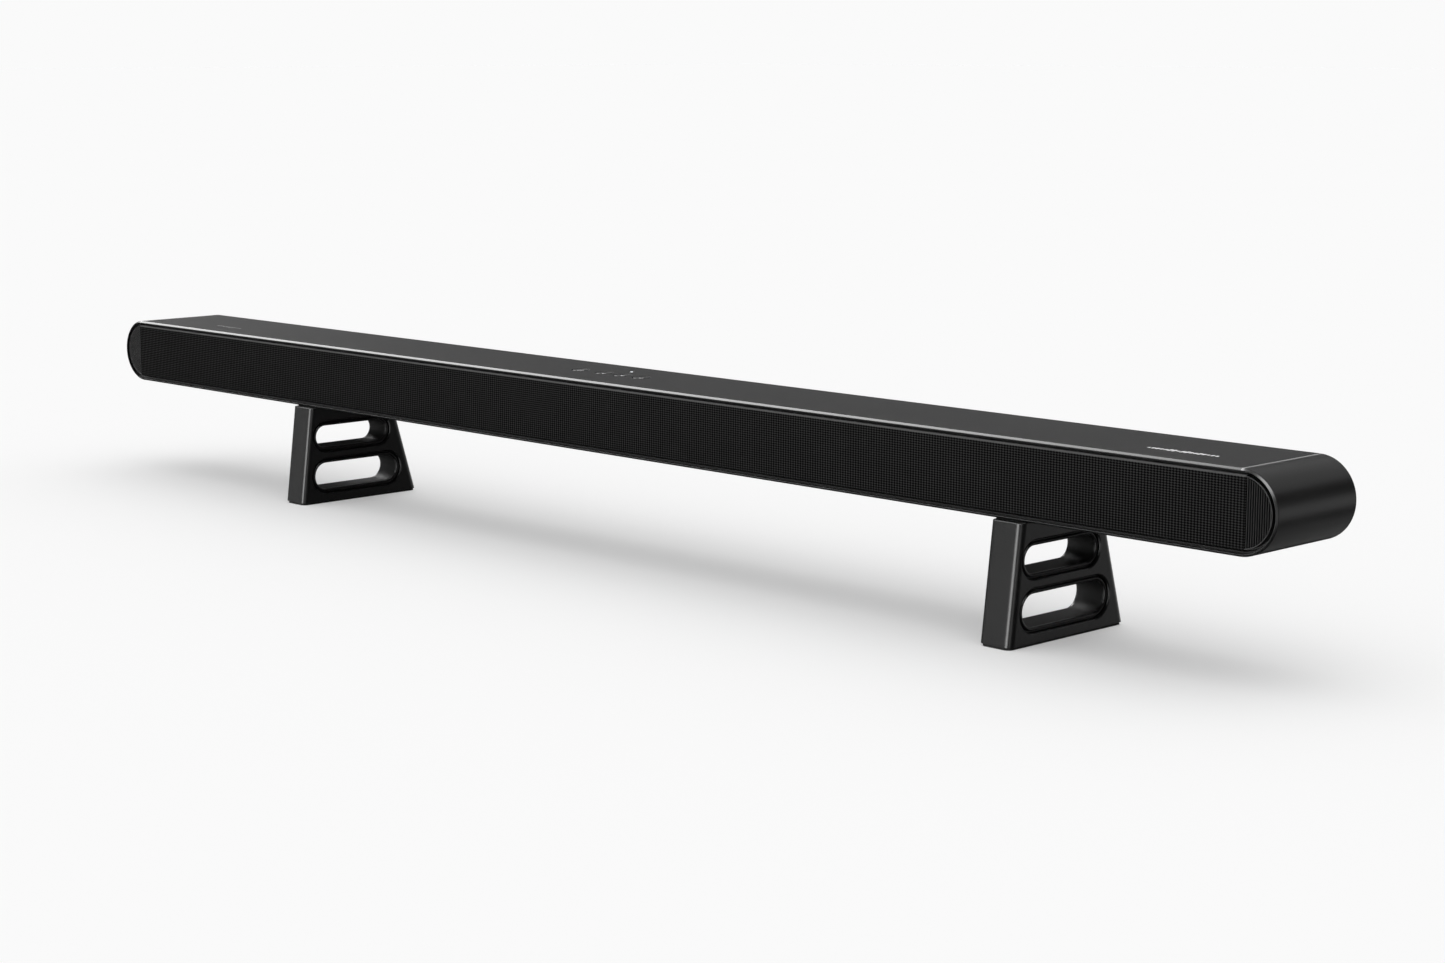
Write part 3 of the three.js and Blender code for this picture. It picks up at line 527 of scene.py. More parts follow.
def add_control_holes(bm, low, high, flare):
    """Solids for the holes round the buttons and the light, opened out by flare at their tops."""
    controls = [(f"button_{name}", BUTTON_RADIUS + 0.1 * MM) for name in BUTTONS]
    for name, radius in controls + [("status_light", LIGHT_RADIUS)]:
        place = middle(name)
        hole = radius + GAP
        mouth = hole + flare
        profile = [(0, low), (hole, low), (hole, TOP - flare), (mouth, TOP), (mouth, high), (0, high)]
        add_turned(bm, profile, (place.x, place.y, 0))


def cabinet():
    """The sleeve: round ends, softened chamfers and openings for the inlay, controls and stands."""
    edge = 0.22 * MM
    step, back = CHAMFER + 0.2 * MM, 3.6 * MM
    profile = rounded(
        [
            (WALL, FRONT + back, 0),
            (step, FRONT + back, 0),
            (step, FRONT + 0.05 * MM, edge / 3),
            (CHAMFER, FRONT, edge / 3),
            (0, FRONT + CHAMFER, edge),
            (0, REAR - CHAMFER, edge),
            (CHAMFER, REAR, edge / 2),
            (WALL, REAR, edge),
        ]
    )
    bm = bmesh.new()
    rings = [[(x, y, BAR_Z + z) for x, z in obround(ROUND_X, RADIUS - d, 64)] for d, y in profile]
    add_loft(bm, rings, around=True)
    sleeve = made_of(bm, "cabinet")
    bm = bmesh.new()
    panel_low, panel_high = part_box("top_panel")
    low = (-ROUND_X, panel_low.y - GAP, panel_low.z - 0.1 * MM)
    add_box(bm, low, (ROUND_X, panel_high.y + GAP, TOP + MM))
    combined(sleeve, bm)
    bm = bmesh.new()
    add_control_holes(bm, TOP - 5 * MM, TOP + MM, 0)
    for side in SIDES:
        for end in ("front", "rear"):
            screw = middle(f"stand_screw_{side}_{end}")
            outline = circle(STAND_BORE_RADIUS, 32, (screw.x, screw.y))
            add_loft(bm, [[(x, y, shell_low.z + h * MM) for x, y in outline] for h in (-1, 4)])
    combined(sleeve, bm)
    return placed(smoothed(sleeve), "bar", "satin_black", "shell")


def inlay():
    """The matt plate that lies in the sleeve's pocket."""
    low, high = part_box("top_panel")
    edge = 0.18 * MM
    rings = []
    levels = [(edge, low.z), (0, low.z + edge), (0, high.z - edge), (edge / 4, high.z - edge / 3)]
    for inset, z in levels + [(edge, high.z)]:
        outline = rectangle((low.x + inset, low.y + inset), (high.x - inset, high.y - inset), 0.4 * MM)
        rings.append([(x, y, z) for x, y in outline])
    bm = bmesh.new()
    add_loft(bm, rings)
    plate = made_of(bm, "inlay")
    bm = bmesh.new()
    add_control_holes(bm, low.z - MM, high.z + MM, 0.22 * MM)
    combined(plate, bm)
    return placed(smoothed(plate), "bar", "top_inlay", "top_panel")


def cloth():
    """Woven cloth in relief, wrapped back over its frame along both long edges."""
    low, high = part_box("grille_cloth")
    wrap = 1.0 * MM
    rise = high.z - low.z
    quarter = wrap * math.pi / 2
    length = rise - 2 * wrap + 2 * quarter
    columns = int(round((high.x - low.x) / (CELL_X / 2) / 2)) * 2
    rows = int(round(length / (CELL_Z / 2) / 4)) * 4
    depth = 0.38 * MM
    points = []
    for j in range(rows + 1):
        s = length * j / rows
        if s < quarter:
            angle = s / wrap - math.pi / 2
            y, z = low.y + wrap - wrap * math.cos(angle), low.z + wrap + wrap * math.sin(angle)
            normal = (-math.cos(angle), math.sin(angle))
        elif s > length - quarter:
            angle = (s - length + quarter) / wrap
            y, z = low.y + wrap - wrap * math.cos(angle), high.z - wrap + wrap * math.sin(angle)
            normal = (-math.cos(angle), math.sin(angle))
        else:
            y, z = low.y, low.z + wrap + s - quarter
            normal = (-1.0, 0.0)
        edge = j in (0, rows)
        for i in range(columns + 1):
            a, b = i - columns // 2, j - rows // 2
            if edge:
                sink = 0.0
            elif a % 2 == 0:
                sink = depth if b % 2 == 0 else 0.12 * MM
            else:
                sink = 0.03 * MM if b % 2 == 0 else 0.07 * MM * ((a // 2 + b // 2) % 2)
            x = low.x + (high.x - low.x) * i / columns
            points.append((x, y - normal[0] * sink, z - normal[1] * sink))
    wide = columns + 1
    faces = [
        (j * wide + i, j * wide + i + 1, (j + 1) * wide + i + 1, (j + 1) * wide + i)
        for j in range(rows)
        for i in range(columns)
    ]
    back = low.y + wrap + 0.02 * MM
    count = len(points)
    rim = [i for i in range(columns + 1)]
    rim += [j * wide + columns for j in range(1, rows + 1)]
    rim += [rows * wide + i for i in range(columns - 1, -1, -1)]
    rim += [j * wide for j in range(rows - 1, 0, -1)]
    points += [(points[i][0], back, points[i][2]) for i in rim]
    for a in range(len(rim)):
        b = (a + 1) % len(rim)
        faces.append((rim[b], rim[a], count + a, count + b))
    faces.append(tuple(range(count + len(rim) - 1, count - 1, -1)))
    mesh = bpy.data.meshes.new("woven_grille")
    mesh.from_pydata(points, [], faces)
    mesh.update()
    sheet = bpy.data.objects.new("woven_grille", mesh)
    bpy.context.scene.collection.objects.link(sheet)
    mesh.shade_smooth()
    mesh.set_sharp_from_angle(angle=math.radians(80))
    placed(sheet, "bar", "grille_cloth", "grille_cloth")
    return sheet


def end_grille(side):
    """A D-shaped moulding: rounded upright ribs inside a thin raised rim, with a painted highlight on
    their crests and painted shade between them.
    """
    low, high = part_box(f"end_grille_{side}")
    sign = 1 if side == "right" else -1
    seam = min(abs(low.x), abs(high.x))
    outer = (high.z - low.z) / 2
    rim_width = 0.55 * MM
    inner = outer - rim_width
    ribs = 11
    rib_height = 1.3 * MM
    pitch = (ROUND_X + inner - seam) / ribs
    spots = [seam + pitch * (i + k / 10) for i in range(ribs) for k in range(10)]
    spots += [ROUND_X + inner * math.sin(math.radians(a)) for a in (70, 76, 81, 84, 86.5, 88.5, 90)]
    spots = sorted(s for s in set(spots) if s <= ROUND_X + inner)

    def ribbed(x):
        share = ((x - seam) / pitch) % 1.0
        swell = max(0.0, 1 - ((share - 0.5) / 0.34) ** 2) ** 0.5
        return low.y + 0.06 * MM + rib_height * (1 - swell)

    def arc(x, radius):
        """The point of the round outline of that radius that belongs to x."""
        reach = x - ROUND_X
        if reach <= 0:
            return x, radius
        share = min(1.0, reach / inner)
        return ROUND_X + radius * share, radius * math.sqrt(max(0.0, 1 - share * share))

    rows = []
    for x in spots:
        row = []
        x_out, z_out = arc(x, outer)
        x_soft, z_soft = arc(x, outer - 0.15 * MM)
        x_crest, z_crest = arc(x, inner + 0.12 * MM)
        x_in, z_in = arc(x, inner)
        for way in (-1, 1):
            edge = [
                (x_out, high.y, way * z_out),
                (x_out, low.y + 0.15 * MM, way * z_out),
                (x_soft, low.y, way * z_soft),
                (x_crest, low.y, way * z_crest),
                (x_in, low.y + 0.12 * MM, way * z_in),
                (x_in, ribbed(x), way * z_in),
            ]
            row += edge if way < 0 else edge[::-1]
        rows.append([(sign * px, py, BAR_Z + pz) for px, py, pz in row])
    bm = bmesh.new()
    add_loft(bm, rows)
    bmesh.ops.remove_doubles(bm, verts=bm.verts, dist=0.002 * MM)
    bmesh.ops.recalc_face_normals(bm, faces=bm.faces)
    grille = made_of(bm, f"ribbed_end_{side}")
    placed(smoothed(grille, 38), "bar", "moulded_black", f"end_grille_{side}")
    grille.data.materials[0] = materials["ribbed_black"]
    return grille


def button_cap(name):
    """A dished cap with a flange and a plunger below it."""
    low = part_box(f"button_{name}")[0]
    radius = BUTTON_RADIUS
    slope = 0.45 * MM
    bowl = radius - 0.9 * MM
    dish = 0.6 * MM
    flange = radius + 1.4 * MM
    under = TOP - WALL - GAP
    plunger = 1.5 * MM
    profile = [(0, low.z), (plunger, low.z), (plunger, under - MM), (flange, under - MM), (flange, under)]
    profile += [(radius, under), (radius, TOP - slope), (radius - slope, TOP)]
    profile.append((bowl + 0.12 * MM, TOP - 0.01 * MM))
    steps = 10
    for i in range(steps + 1):
        r = bowl * (1 - i / steps)
        profile.append((r, TOP - 0.04 * MM - (dish - 0.04 * MM) * (1 - (r / bowl) ** 2)))
    place = (middle(f"button_{name}").x, BAR_Y, 0)
    bm = bmesh.new()
    add_turned(bm, profile, place, steps=64)
    cap = made_of(bm, f"{name}_cap")
    return placed(smoothed(cap, 25), f"button_{name}", "satin_black", f"button_{name}")


def prisms(name, outlines, low, high):
    """Thin plates with the given outlines, in one piece."""
    bm = bmesh.new()
    for outline in outlines:
        add_loft(bm, [[(x, y, z) for x, y in outline] for z in (low, high)])
    return made_of(bm, name)


def bar_outline(x, y, long, wide):
    return rectangle((x - long / 2, y - wide / 2), (x + long / 2, y + wide / 2), min(long, wide) / 2.2)


def ring_outline(x, y, radius, wide, start, sweep, steps=28):
    """Part of a ring, as an outline that runs out along it and back."""
    angles = [math.radians(start + sweep * i / steps) for i in range(steps + 1)]
    outer = circle_points(x, y, radius + wide / 2, angles)
    inner = circle_points(x, y, radius - wide / 2, angles)
    return outer + inner[::-1]


def button_symbols():
    """Generic control symbols, printed in the dishes of the buttons."""
    line = 0.55 * MM
    reach = 1.9 * MM
    high = TOP - 0.6 * MM + 0.22 * MM
    for name in BUTTONS:
        x, y = middle(f"button_{name}").x, BAR_Y
        if name == "power":
            outlines = [ring_outline(x, y, reach, line, 125, 290)]
            outlines.append(bar_outline(x, y + 1.2 * MM, line, 1.7 * MM))
        elif name == "source":
            outlines = [ring_outline(x, y, 3.0 * MM, 1.0 * MM, 40, 280)]
            outlines.append(bar_outline(x - 0.7 * MM, y, 1.8 * MM, 0.9 * MM))
            outlines.append([(x, y - 1.4 * MM), (x + 2.2 * MM, y), (x, y + 1.4 * MM)])
        else:
            outlines = [bar_outline(x, y, 2 * reach, line)]
            if name == "volume_up":
                arm = reach - line / 2
                for way in (-1, 1):
                    outlines.append(bar_outline(x, y + way * (reach + line / 2) / 2, line, arm))
        mark = prisms(f"{name}_symbol", outlines, high - 0.2 * MM, high)
        mark.data.materials.append(materials["pale_ink"])
        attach(mark, f"button_{name}")


def top_marks():
    """Two generic printed marks near the front corners: a row of sound bars and a row of dots."""
    y = BAR_Y - 11.2 * MM
    high = TOP + 0.03 * MM
    start, end, count = 399 * MM, 439 * MM, 17
    pitch = (end - start) / (count - 1)
    outlines = []
    for i in range(count):
        swell = abs(math.sin(i * 0.9)) * math.sin(math.pi * (i + 0.7) / (count + 0.4))
        outlines.append(bar_outline(start + i * pitch, y, 1.7 * MM, 2.0 * MM + 3.4 * MM * swell))
    dots = [bar_outline(x * MM, y, 2.3 * MM, 1.4 * MM) for x in np.arange(-403.5, -377, 3.25)]
    marks = ("sound_bars_mark", outlines, "pale_ink"), ("dotted_mark", dots, "grey_ink")
    for name, shapes, ink in marks:
        mark = prisms(name, shapes, TOP - 0.02 * MM, high)
        mark.data.materials.append(materials[ink])
        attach(mark, "bar")


def status_lens():
    """A small round window with a slightly domed top."""
    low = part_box("status_light")[0]
    radius, dome = LIGHT_RADIUS, 0.15 * MM
    profile = [(0, low.z), (radius, low.z), (radius, TOP - dome)]
    for angle in np.linspace(0.2, math.pi / 2, 7)[:-1]:
        profile.append((radius * math.cos(angle), TOP - dome + dome * math.sin(angle)))
    profile.append((0, TOP))
    bm = bmesh.new()
    place = middle("status_light")
    add_turned(bm, profile, (place.x, place.y, 0), steps=32)
    return placed(smoothed(made_of(bm, "status_lens"), 40), "bar", "light_pipe", "status_light")


# ---- The rear ----


def add_upright(bm, outline, levels):
    """Adds the solid through copies of an outline in X and Z, one for each y in levels."""
    add_loft(bm, [[(x, y, z) for x, z in outline] for y in levels])


def rear_panel():
    """The rear plate with its jack bay, round-ended vents, port holes and screw seats."""
    low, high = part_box("rear_cover")
    radius = (high.z - low.z) / 2
    reach = high.x - radius
    inside = high.y - 2.2 * MM
    wall, floor_y = 1.6 * MM, low.y + 1.6 * MM

    def bay(grow, corner):
        """The outline of the jack bay, made larger by grow on every side."""
        across, up = 75 * MM + grow, 12 * MM + grow
        return rectangle((-across, BAR_Z - up), (across, BAR_Z + up), corner)

    bm = bmesh.new()
    edge = [(0, inside), (0, high.y - 0.5 * MM), (0.15 * MM, high.y - 0.15 * MM), (0.5 * MM, high.y)]
    rings = []
    for inset, y in edge:
        outline = obround(reach, radius - inset, 48, (0, BAR_Z))
        rings.append([(x, y, z) for x, z in outline])
    add_loft(bm, rings)
    plate = made_of(bm, "rear_panel")
    bm = bmesh.new()
    add_upright(bm, bay(wall, 4 * MM), (low.y, inside + MM))
    combined(plate, bm, "UNION")
    bm = bmesh.new()
    mouth = [(0, floor_y), (0, high.y - 0.7 * MM), (0.2 * MM, high.y - 0.25 * MM), (0.7 * MM, high.y)]
    mouth.append((0.7 * MM, high.y + MM))
    add_loft(bm, [[(x, y, z) for x, z in bay(grow, 3 * MM + grow)] for grow, y in mouth])
    combined(plate, bm)
    bm = bmesh.new()
    for jack in ("power_inlet", "hdmi_jack", "optical_jack", "aux_jack"):
        jack_low, jack_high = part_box(jack)
        corners = (jack_low.x - GAP, jack_low.z - GAP), (jack_high.x + GAP, jack_high.z + GAP)
        add_upright(bm, rectangle(*corners, 0), (low.y - MM, floor_y + MM))
    for centre in (-118, 118):
        for i in range(-2, 3):
            slit = [(x, z) for z, x in obround(8 * MM, MM, 12, (BAR_Z, (centre + 6 * i) * MM))]
            add_upright(bm, slit, (inside - MM, high.y + MM))
    for side in SIDES:
        port = middle(f"bass_port_{side}")
        add_upright(bm, circle(10.3 * MM, 64, (port.x, BAR_Z)), (inside - MM, high.y + MM))
    for i in range(1, 5):
        screw = middle(f"cover_screw_{i}")
        add_upright(bm, circle(1.7 * MM, 24, (screw.x, BAR_Z)), (inside - MM, high.y - 0.5 * MM))
        add_upright(bm, circle(3.2 * MM, 48, (screw.x, BAR_Z)), (high.y - MM, high.y + MM))
    combined(plate, bm)
    return placed(smoothed(plate, 36, 0.12 * MM), "bar", "moulded_black", "rear_cover")


def flared_port(side):
    """A smooth tube whose mouth opens out over the rear plate."""
    low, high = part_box(f"bass_port_{side}")
    x = middle(f"bass_port_{side}").x
    inner, outer, lip, mouth = 8.8 * MM, 10 * MM, high.y - 0.5 * MM, 12.4 * MM
    profile = [(inner, low.y), (outer, low.y), (outer, lip), (mouth, lip), (mouth, lip + 0.2 * MM)]
    profile += [(mouth - 0.25 * MM, high.y - 0.07 * MM), (mouth - 0.6 * MM, high.y)]
    for i in range(13):
        turn = math.pi / 2 * i / 12
        profile.append((11.2 * MM - 2.4 * MM * math.sin(turn), high.y - 5 * MM * (1 - math.cos(turn))))
    rings = [[(px, y, pz) for px, pz in circle(r, 64, (x, BAR_Z))] for r, y in profile]
    bm = bmesh.new()
    add_loft(bm, rings, around=True)
    port = made_of(bm, f"flared_port_{side}")
    return placed(smoothed(port, 50), "bar", "moulded_black", f"bass_port_{side}")


def pan_screw(i):
    """A pan-head screw with a cross recess."""
    low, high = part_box(f"cover_screw_{i}")
    place = middle(f"cover_screw_{i}")
    head, top = high.y - 1.2 * MM, high.y
    shank, rim = 1.4 * MM, 2.9 * MM
    profile = [(0, low.y), (1.0 * MM, low.y), (shank, low.y + 0.5 * MM), (shank, head), (rim, head)]
    profile += [(rim, top - 0.6 * MM), (2.75 * MM, top - 0.3 * MM), (2.3 * MM, top - 0.08 * MM)]
    profile += [(1.6 * MM, top), (0, top)]
    bm = bmesh.new()
    add_turned(bm, profile, (place.x, 0, place.z), axis="Y", steps=48)
    screw = made_of(bm, f"pan_screw_{i}")
    for wide, tall in ((1.7 * MM, 0.36 * MM), (0.36 * MM, 1.7 * MM)):
        bm = bmesh.new()
        rings = []
        for share, y in ((0.45, top - 0.9 * MM), (1.0, top + 0.1 * MM)):
            across, up = max(wide * share, 0.3 * MM), max(tall * share, 0.3 * MM)
            outline = rectangle((place.x - across, place.z - up), (place.x + across, place.z + up), 0)
            rings.append([(x, y, z) for x, z in outline])
        add_loft(bm, rings)
        combined(screw, bm)
    return placed(smoothed(screw, 35), "bar", "black_steel", f"cover_screw_{i}")


def mains_socket():
    """A figure-eight socket with two round pins."""
    low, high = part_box("power_inlet")
    place = middle("power_inlet")
    bm = bmesh.new()
    add_upright(bm, rectangle((low.x, low.z), (high.x, high.z), 0.8 * MM), (low.y, high.y))
    block = made_of(bm, "mains_socket")
    bm = bmesh.new()
    mouth = high.y - 10 * MM
    add_upright(bm, obround(3.3 * MM, 4 * MM, 24, (place.x, place.z)), (mouth, high.y + MM))
    combined(block, bm)
    bm = bmesh.new()
    pin, tip = 1.2 * MM, high.y - 1.5 * MM
    profile = [(0, mouth - MM), (pin, mouth - MM), (pin, tip - 0.9 * MM), (1.0 * MM, tip - 0.35 * MM)]
    profile += [(0.6 * MM, tip - 0.08 * MM), (0, tip)]
    for x in (place.x - 3.7 * MM, place.x + 3.7 * MM):
        add_turned(bm, profile, (x, 0, place.z), axis="Y", steps=32)
    combined(block, bm, "UNION")
    return placed(smoothed(block, 36, 0.1 * MM), "bar", "moulded_black", "power_inlet")


def aux_socket():
    """A round jack socket with a raised collar."""
    low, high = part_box("aux_jack")
    place = middle("aux_jack")
    bm = bmesh.new()
    add_upright(bm, rectangle((low.x, low.z), (high.x, high.z), 0.4 * MM), (low.y, high.y - 1.2 * MM))
    block = made_of(bm, "aux_socket")
    collar = [(3.8, -2.2), (3.8, -0.25), (3.55, 0)]
    bore = [(1.8, -11), (1.8, -0.3), (2.15, 0.01), (2.15, 1)]
    for rings, operation in ((collar, "UNION"), (bore, "DIFFERENCE")):
        bm = bmesh.new()
        outlines = [(circle(r * MM, 48, (place.x, place.z)), high.y + y * MM) for r, y in rings]
        add_loft(bm, [[(x, y, z) for x, z in outline] for outline, y in outlines])
        combined(block, bm, operation)
    return placed(smoothed(block, 36, 0.08 * MM), "bar", "plated_steel", "aux_jack")


# ---- The stands ----

STAND_TOP = shell_low.z
STAND_FRONT = (-46.9 * MM, -38.6 * MM)  # at the floor and under the bar
STAND_REAR = (47.3 * MM, 28.4 * MM)
SLOTS = [  # rims of the slots in Y and Z
    ((-37.4 * MM, 25.6 * MM), (34.2 * MM, 54.4 * MM)),
    ((-38.6 * MM, 34.0 * MM), (6.4 * MM, 29.6 * MM)),
]


def slot_tool(bm, x, half, ys, zs):
    """The solid that a slot removes: an opening whose rounded lip stands in a groove, on both faces."""
    # Each point is how far in from the rim it lies and how deep below the face.
    lip = rounded(
        [
            (-0.7, -1.0, 0),
            (-0.7, 0.0, 0),
            (0.0, 0.7, 0.5),
            (0.1, 2.4, 0.6),
            (1.1, 2.4, 0.45),
            (1.35, 0.75, 0.6),
            (2.85, 0.75, 0.95),
            (3.0, 2.6, 1.0),
            (3.0, 6.0, 0),
        ],
        closed=False,
        steps=5,
    )
    radius = (zs[1] - zs[0]) / 2
    reach = (ys[1] - ys[0]) / 2 - radius
    centre = ((ys[0] + ys[1]) / 2, (zs[0] + zs[1]) / 2)
    stations = [(inset * MM, half - depth * MM) for inset, depth in lip]
    stations += [(inset, -across) for inset, across in stations[::-1]]
    rings = []
    for inset, across in stations:
        outline = obround(reach, radius - inset, 24, centre)
        rings.append([(x + across, y, z) for y, z in outline])
    add_loft(bm, rings)


def within_slot(ys, zs, point):
    """Whether a point lies on the wall of a slot's opening or inside it."""
    radius = (zs[1] - zs[0]) / 2
    beyond = max(0.0, abs(point.y - (ys[0] + ys[1]) / 2) - (ys[1] - ys[0]) / 2 + radius)
    return math.hypot(beyond, point.z - (zs[0] + zs[1]) / 2) < radius - 2.8 * MM


def stand(side):
    """A tapered block with soft upright corners and two lipped slots, matt inside."""
    low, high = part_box(f"stand_{side}")
    x = (low.x + high.x) / 2
    half = (high.x - low.x) / 2
    corner, edge = 4.2 * MM, 0.3 * MM
    curve = (1, 0), (0.35, 0.2), (0.08, 0.55), (0, 1)
    levels = [(edge * inset, low.z + edge * rise) for inset, rise in curve]
    levels += [(inset, low.z + high.z - z) for inset, z in levels[::-1]]
    rings = []
    for inset, z in levels:
        front = STAND_FRONT[0] + (STAND_FRONT[1] - STAND_FRONT[0]) * z / STAND_TOP
        rear = STAND_REAR[0] + (STAND_REAR[1] - STAND_REAR[0]) * z / STAND_TOP
        corners = (x - half + inset, front + inset), (x + half - inset, rear - inset)
        rings.append([(px, py, z) for px, py in rectangle(*corners, corner, steps=8)])
    bm = bmesh.new()
    add_loft(bm, rings)
    block = made_of(bm, f"riser_{side}")
    bm = bmesh.new()
    for ys, zs in SLOTS:
        slot_tool(bm, x, half, ys, zs)
    combined(block, bm)
    for end in ("front", "rear"):
        bm = bmesh.new()
        screw = middle(f"stand_screw_{side}_{end}")
        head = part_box(f"stand_screw_{side}_{end}")[0].z + 3.6 * MM
        well = (4.3 * MM, head - 8 * MM, head)
        bore = (STAND_BORE_RADIUS, head - MM, high.z + MM)
        for radius, bottom, top in (well, bore):
            outline = circle(radius, 32, (screw.x, screw.y))
            add_loft(bm, [[(px, py, z) for px, py in outline] for z in (bottom, top)])
        combined(block, bm)
    riser = placed(smoothed(block, 36), "bar", "stand_black", f"stand_{side}")
    riser.data.materials.append(materials["slot_black"])
    for face in riser.data.polygons:
        inside = abs(face.center.x - x) < half - 2.5 * MM
        if inside and any(within_slot(ys, zs, face.center) for ys, zs in SLOTS):
            face.material_index = 1
    return riser


# ---- All of them made ----

rear_panel()
for side in SIDES:
    flared_port(side)
for i in range(1, 5):
    pan_screw(i)
mains_socket()
aux_socket()
cabinet()
inlay()
cloth()
for side in SIDES:
    end_grille(side)
for name in BUTTONS:
    button_cap(name)
button_symbols()
top_marks()
status_lens()
for side in SIDES:
    stand(side)

# ---- The CAD pieces that stay: finished materials, welded and with softened edges ----


def soften(piece, width):
    weld = piece.modifiers.new("weld", "WELD")
    weld.merge_threshold = 0.005 * MM
    bevel = piece.modifiers.new("edges", "BEVEL")
    bevel.width = width
    bevel.segments = 2
    bevel.limit_method = "ANGLE"
    bevel.angle_limit = math.radians(40)
    shading = piece.modifiers.new("shading", "WEIGHTED_NORMAL")
    shading.keep_sharp = True
    piece.data.shade_smooth()


for part in frame["record"]["subparts"]:
    piece = nodes[part["node"]]
    if piece.hide_render:
        continue
    piece.data.materials.clear()
    piece.data.materials.append(materials[part["material_slot"]])
    soften(piece, 0.15 * MM)

# ---- The studio ----


CAMERA_PLACE = (1.17970, -1.06590, 0.30009)
CAMERA_PITCH, CAMERA_TURN = 80.755, 45.713  # degrees from straight down, and anticlockwise from +Y
CAMERA_SENSOR, CAMERA_LENS = 36, 66.816

PALE = 0.956  # the pale floor and backdrop
GLOW = 0.22  # the share of the floor's brightness that no shadow dims
DOME_LOW, DOME_HIGH = 0.4, 1.2  # the dome's strength at the horizon, and what its zenith adds

# Soft lights that only the gloss sees: the way to each, its half width and height, softness, strength.
SOFTBOXES = [
    ((-0.75, -0.16, 0.66), 0.50, 0.13, 0.30, 8.5),  # overhead, to the left
    ((-0.06, -0.97, -0.18), 0.16, 0.90, 0.14, 8.0),  # tall strip in front
    ((-0.63, -0.75, -0.15), 0.50, 0.50, 0.40, 0.46),  # broad fill, front left
    ((0.36, -0.50, 0.79), 0.30, 0.26, 0.15, 10.0),  # high in front, for the rim of the round end
    ((0.75, -0.62, -0.14), 0.16, 0.25, 0.14, 1.2),  # on the right, near the horizon
    ((-0.50, 0.85, 0.20), 0.25, 0.04, 0.06, 0.25),  # strips behind, for bands on the round end
    ((-0.10, 0.82, 0.53), 0.60, 0.05, 0.12, 0.62),
    ((0.42, 0.82, -0.08), 0.25, 0.08, 0.14, 0.5),
    ((-0.13, 0.85, -0.50), 0.20, 0.04, 0.06, 0.28),
    ((0.0, 0.98, -0.20), 0.20, 0.25, 0.10, 0.8),  # for the rear panel
]
GLOSS_BASE = 0.04  # it fades out just below the horizon


def camera():
    data = bpy.data.cameras.new("camera")
    data.sensor_width = CAMERA_SENSOR
    data.lens = CAMERA_LENS
    made = bpy.data.objects.new("camera", data)
    made.location = CAMERA_PLACE
    made.rotation_euler = (math.radians(CAMERA_PITCH), 0, math.radians(CAMERA_TURN))
    bpy.context.scene.collection.objects.link(made)
    bpy.context.scene.camera = made


def floor():
    bm = bmesh.new()
    bmesh.ops.create_grid(bm, x_segments=1, y_segments=1, size=30)
    ground = made_of(bm, "floor")
    paint = Paint("floor_paper", specular=0.0)
    cloud = paint.noise(0.5, detail=2)
    lit = PALE * (1 - GLOW)
    colour = paint.blend(cloud, grey(lit - 0.002), grey(lit + 0.002))
    paint.shader.inputs["Emission Color"].default_value = (1, 1, 1, 1)
    paint.shader.inputs["Emission Strength"].default_value = PALE * GLOW
    paint.finish(colour, paint.between(cloud, 0.9, 1.0), paint.bump(cloud, 0.01 * MM))
    ground.data.materials.append(materials["floor_paper"])
    ground.visible_glossy = False



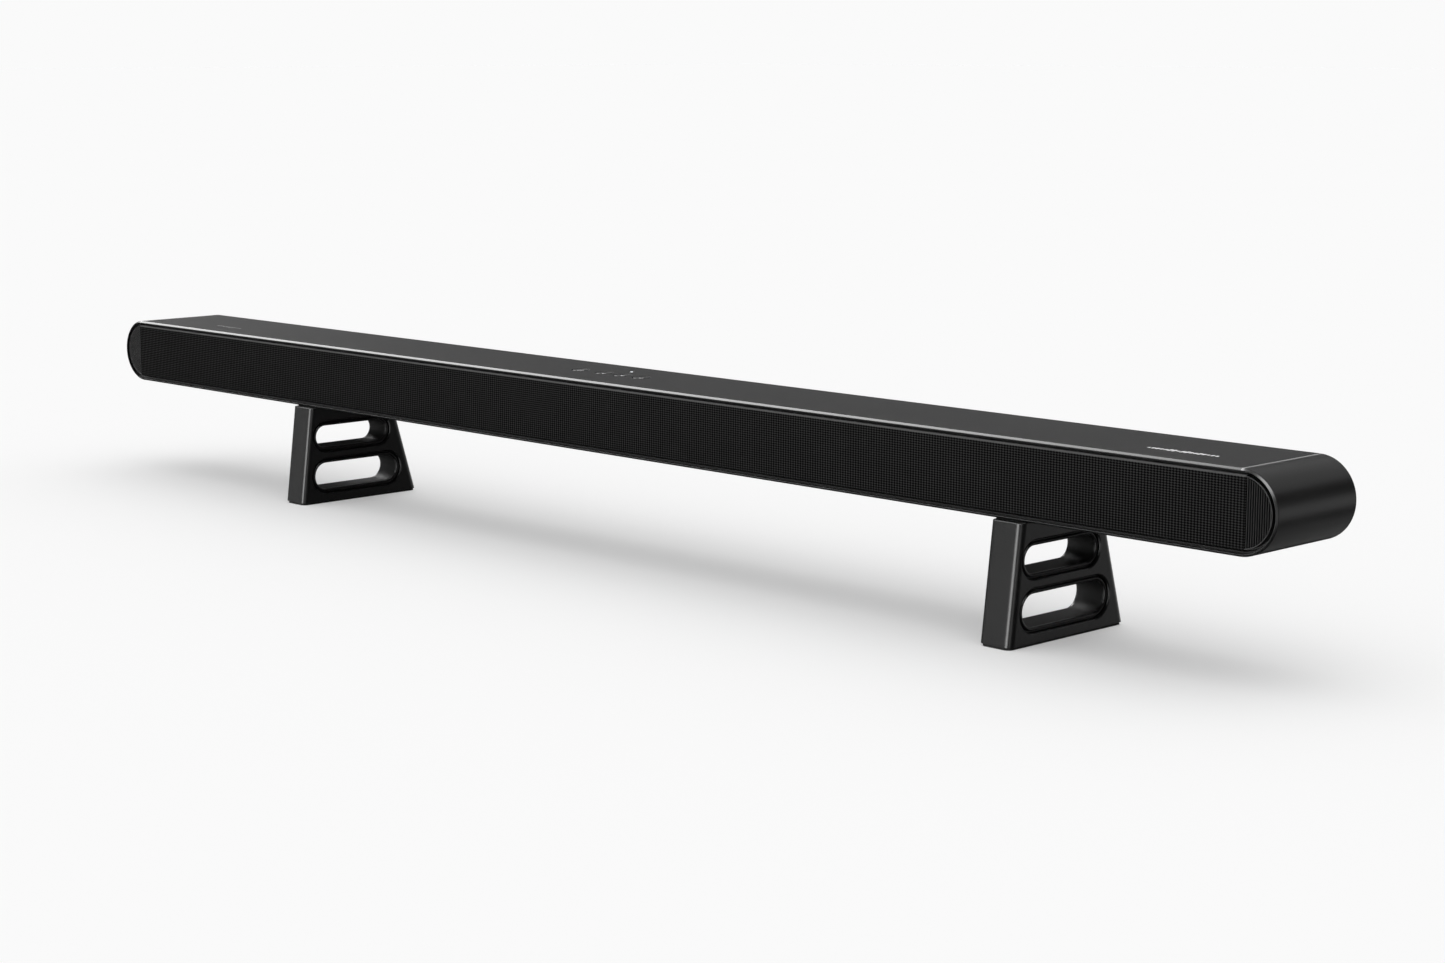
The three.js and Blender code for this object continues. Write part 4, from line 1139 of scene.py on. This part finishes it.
def studio():
    """A white dome for the floor and the diffuse light, and softboxes in the dark for the gloss."""
    world = bpy.data.worlds.new("studio")
    bpy.context.scene.world = world
    world.use_nodes = True
    world.cycles.sampling_method = "NONE"
    tree = world.node_tree
    background = tree.nodes["Background"]

    def maths(operation, a, b=0.0, c=0.0, clamp=False):
        node = tree.nodes.new("ShaderNodeMath")
        node.operation = operation
        node.use_clamp = clamp
        for i, value in enumerate((a, b, c)):
            if isinstance(value, bpy.types.NodeSocket):
                tree.links.new(value, node.inputs[i])
            else:
                node.inputs[i].default_value = value
        return node.outputs[0]

    way = tree.nodes.new("ShaderNodeTexCoord").outputs["Generated"]

    def along(axis):
        node = tree.nodes.new("ShaderNodeVectorMath")
        node.operation = "DOT_PRODUCT"
        tree.links.new(way, node.inputs[0])
        node.inputs[1].default_value = axis
        return node.outputs["Value"]

    def edge(value, limit, soft):
        """One inside the limit on both sides, falling to nothing over the softness."""
        node = tree.nodes.new("ShaderNodeMapRange")
        node.interpolation_type = "SMOOTHSTEP"
        tree.links.new(maths("ABSOLUTE", value), node.inputs["Value"])
        node.inputs["From Min"].default_value = limit
        node.inputs["From Max"].default_value = limit + soft
        node.inputs["To Min"].default_value = 1.0
        node.inputs["To Max"].default_value = 0.0
        return node.outputs[0]

    level = maths("MULTIPLY_ADD", along((0, 0, 1)), 5.0, c=1.0, clamp=True)
    total = maths("MULTIPLY", level, GLOSS_BASE)
    for axis, wide, tall, soft, strength in SOFTBOXES:
        centre = Vector(axis).normalized()
        right = centre.cross(Vector((0, 0, 1))).normalized()
        up = right.cross(centre)
        ahead = along(centre)
        safe = maths("MAXIMUM", ahead, 0.001)
        beside = edge(maths("DIVIDE", along(right), safe), wide, soft)
        mask = maths("MULTIPLY", beside, maths("GREATER_THAN", ahead, 0.0))
        mask = maths("MULTIPLY", mask, edge(maths("DIVIDE", along(up), safe), tall, soft))
        total = maths("ADD", maths("MULTIPLY", mask, strength), total)
    ray = tree.nodes.new("ShaderNodeLightPath")
    gloss = ray.outputs["Is Glossy Ray"]
    seen = ray.outputs["Is Camera Ray"]
    rise = maths("MAXIMUM", along((0, 0, 1)), 0.0)
    dome = maths("ADD", DOME_LOW, maths("MULTIPLY", maths("MULTIPLY", rise, rise), DOME_HIGH))
    unseen = maths("SUBTRACT", maths("SUBTRACT", 1.0, gloss), seen)
    strength = maths("ADD", maths("MULTIPLY", dome, unseen), maths("MULTIPLY", seen, PALE))
    strength = maths("ADD", strength, maths("MULTIPLY", total, gloss))
    background.inputs["Color"].default_value = (1, 1, 1, 1)
    tree.links.new(strength, background.inputs["Strength"])


camera()
floor()
studio()
scene = bpy.context.scene
scene.view_settings.view_transform = "Standard"
scene.view_settings.look = "None"
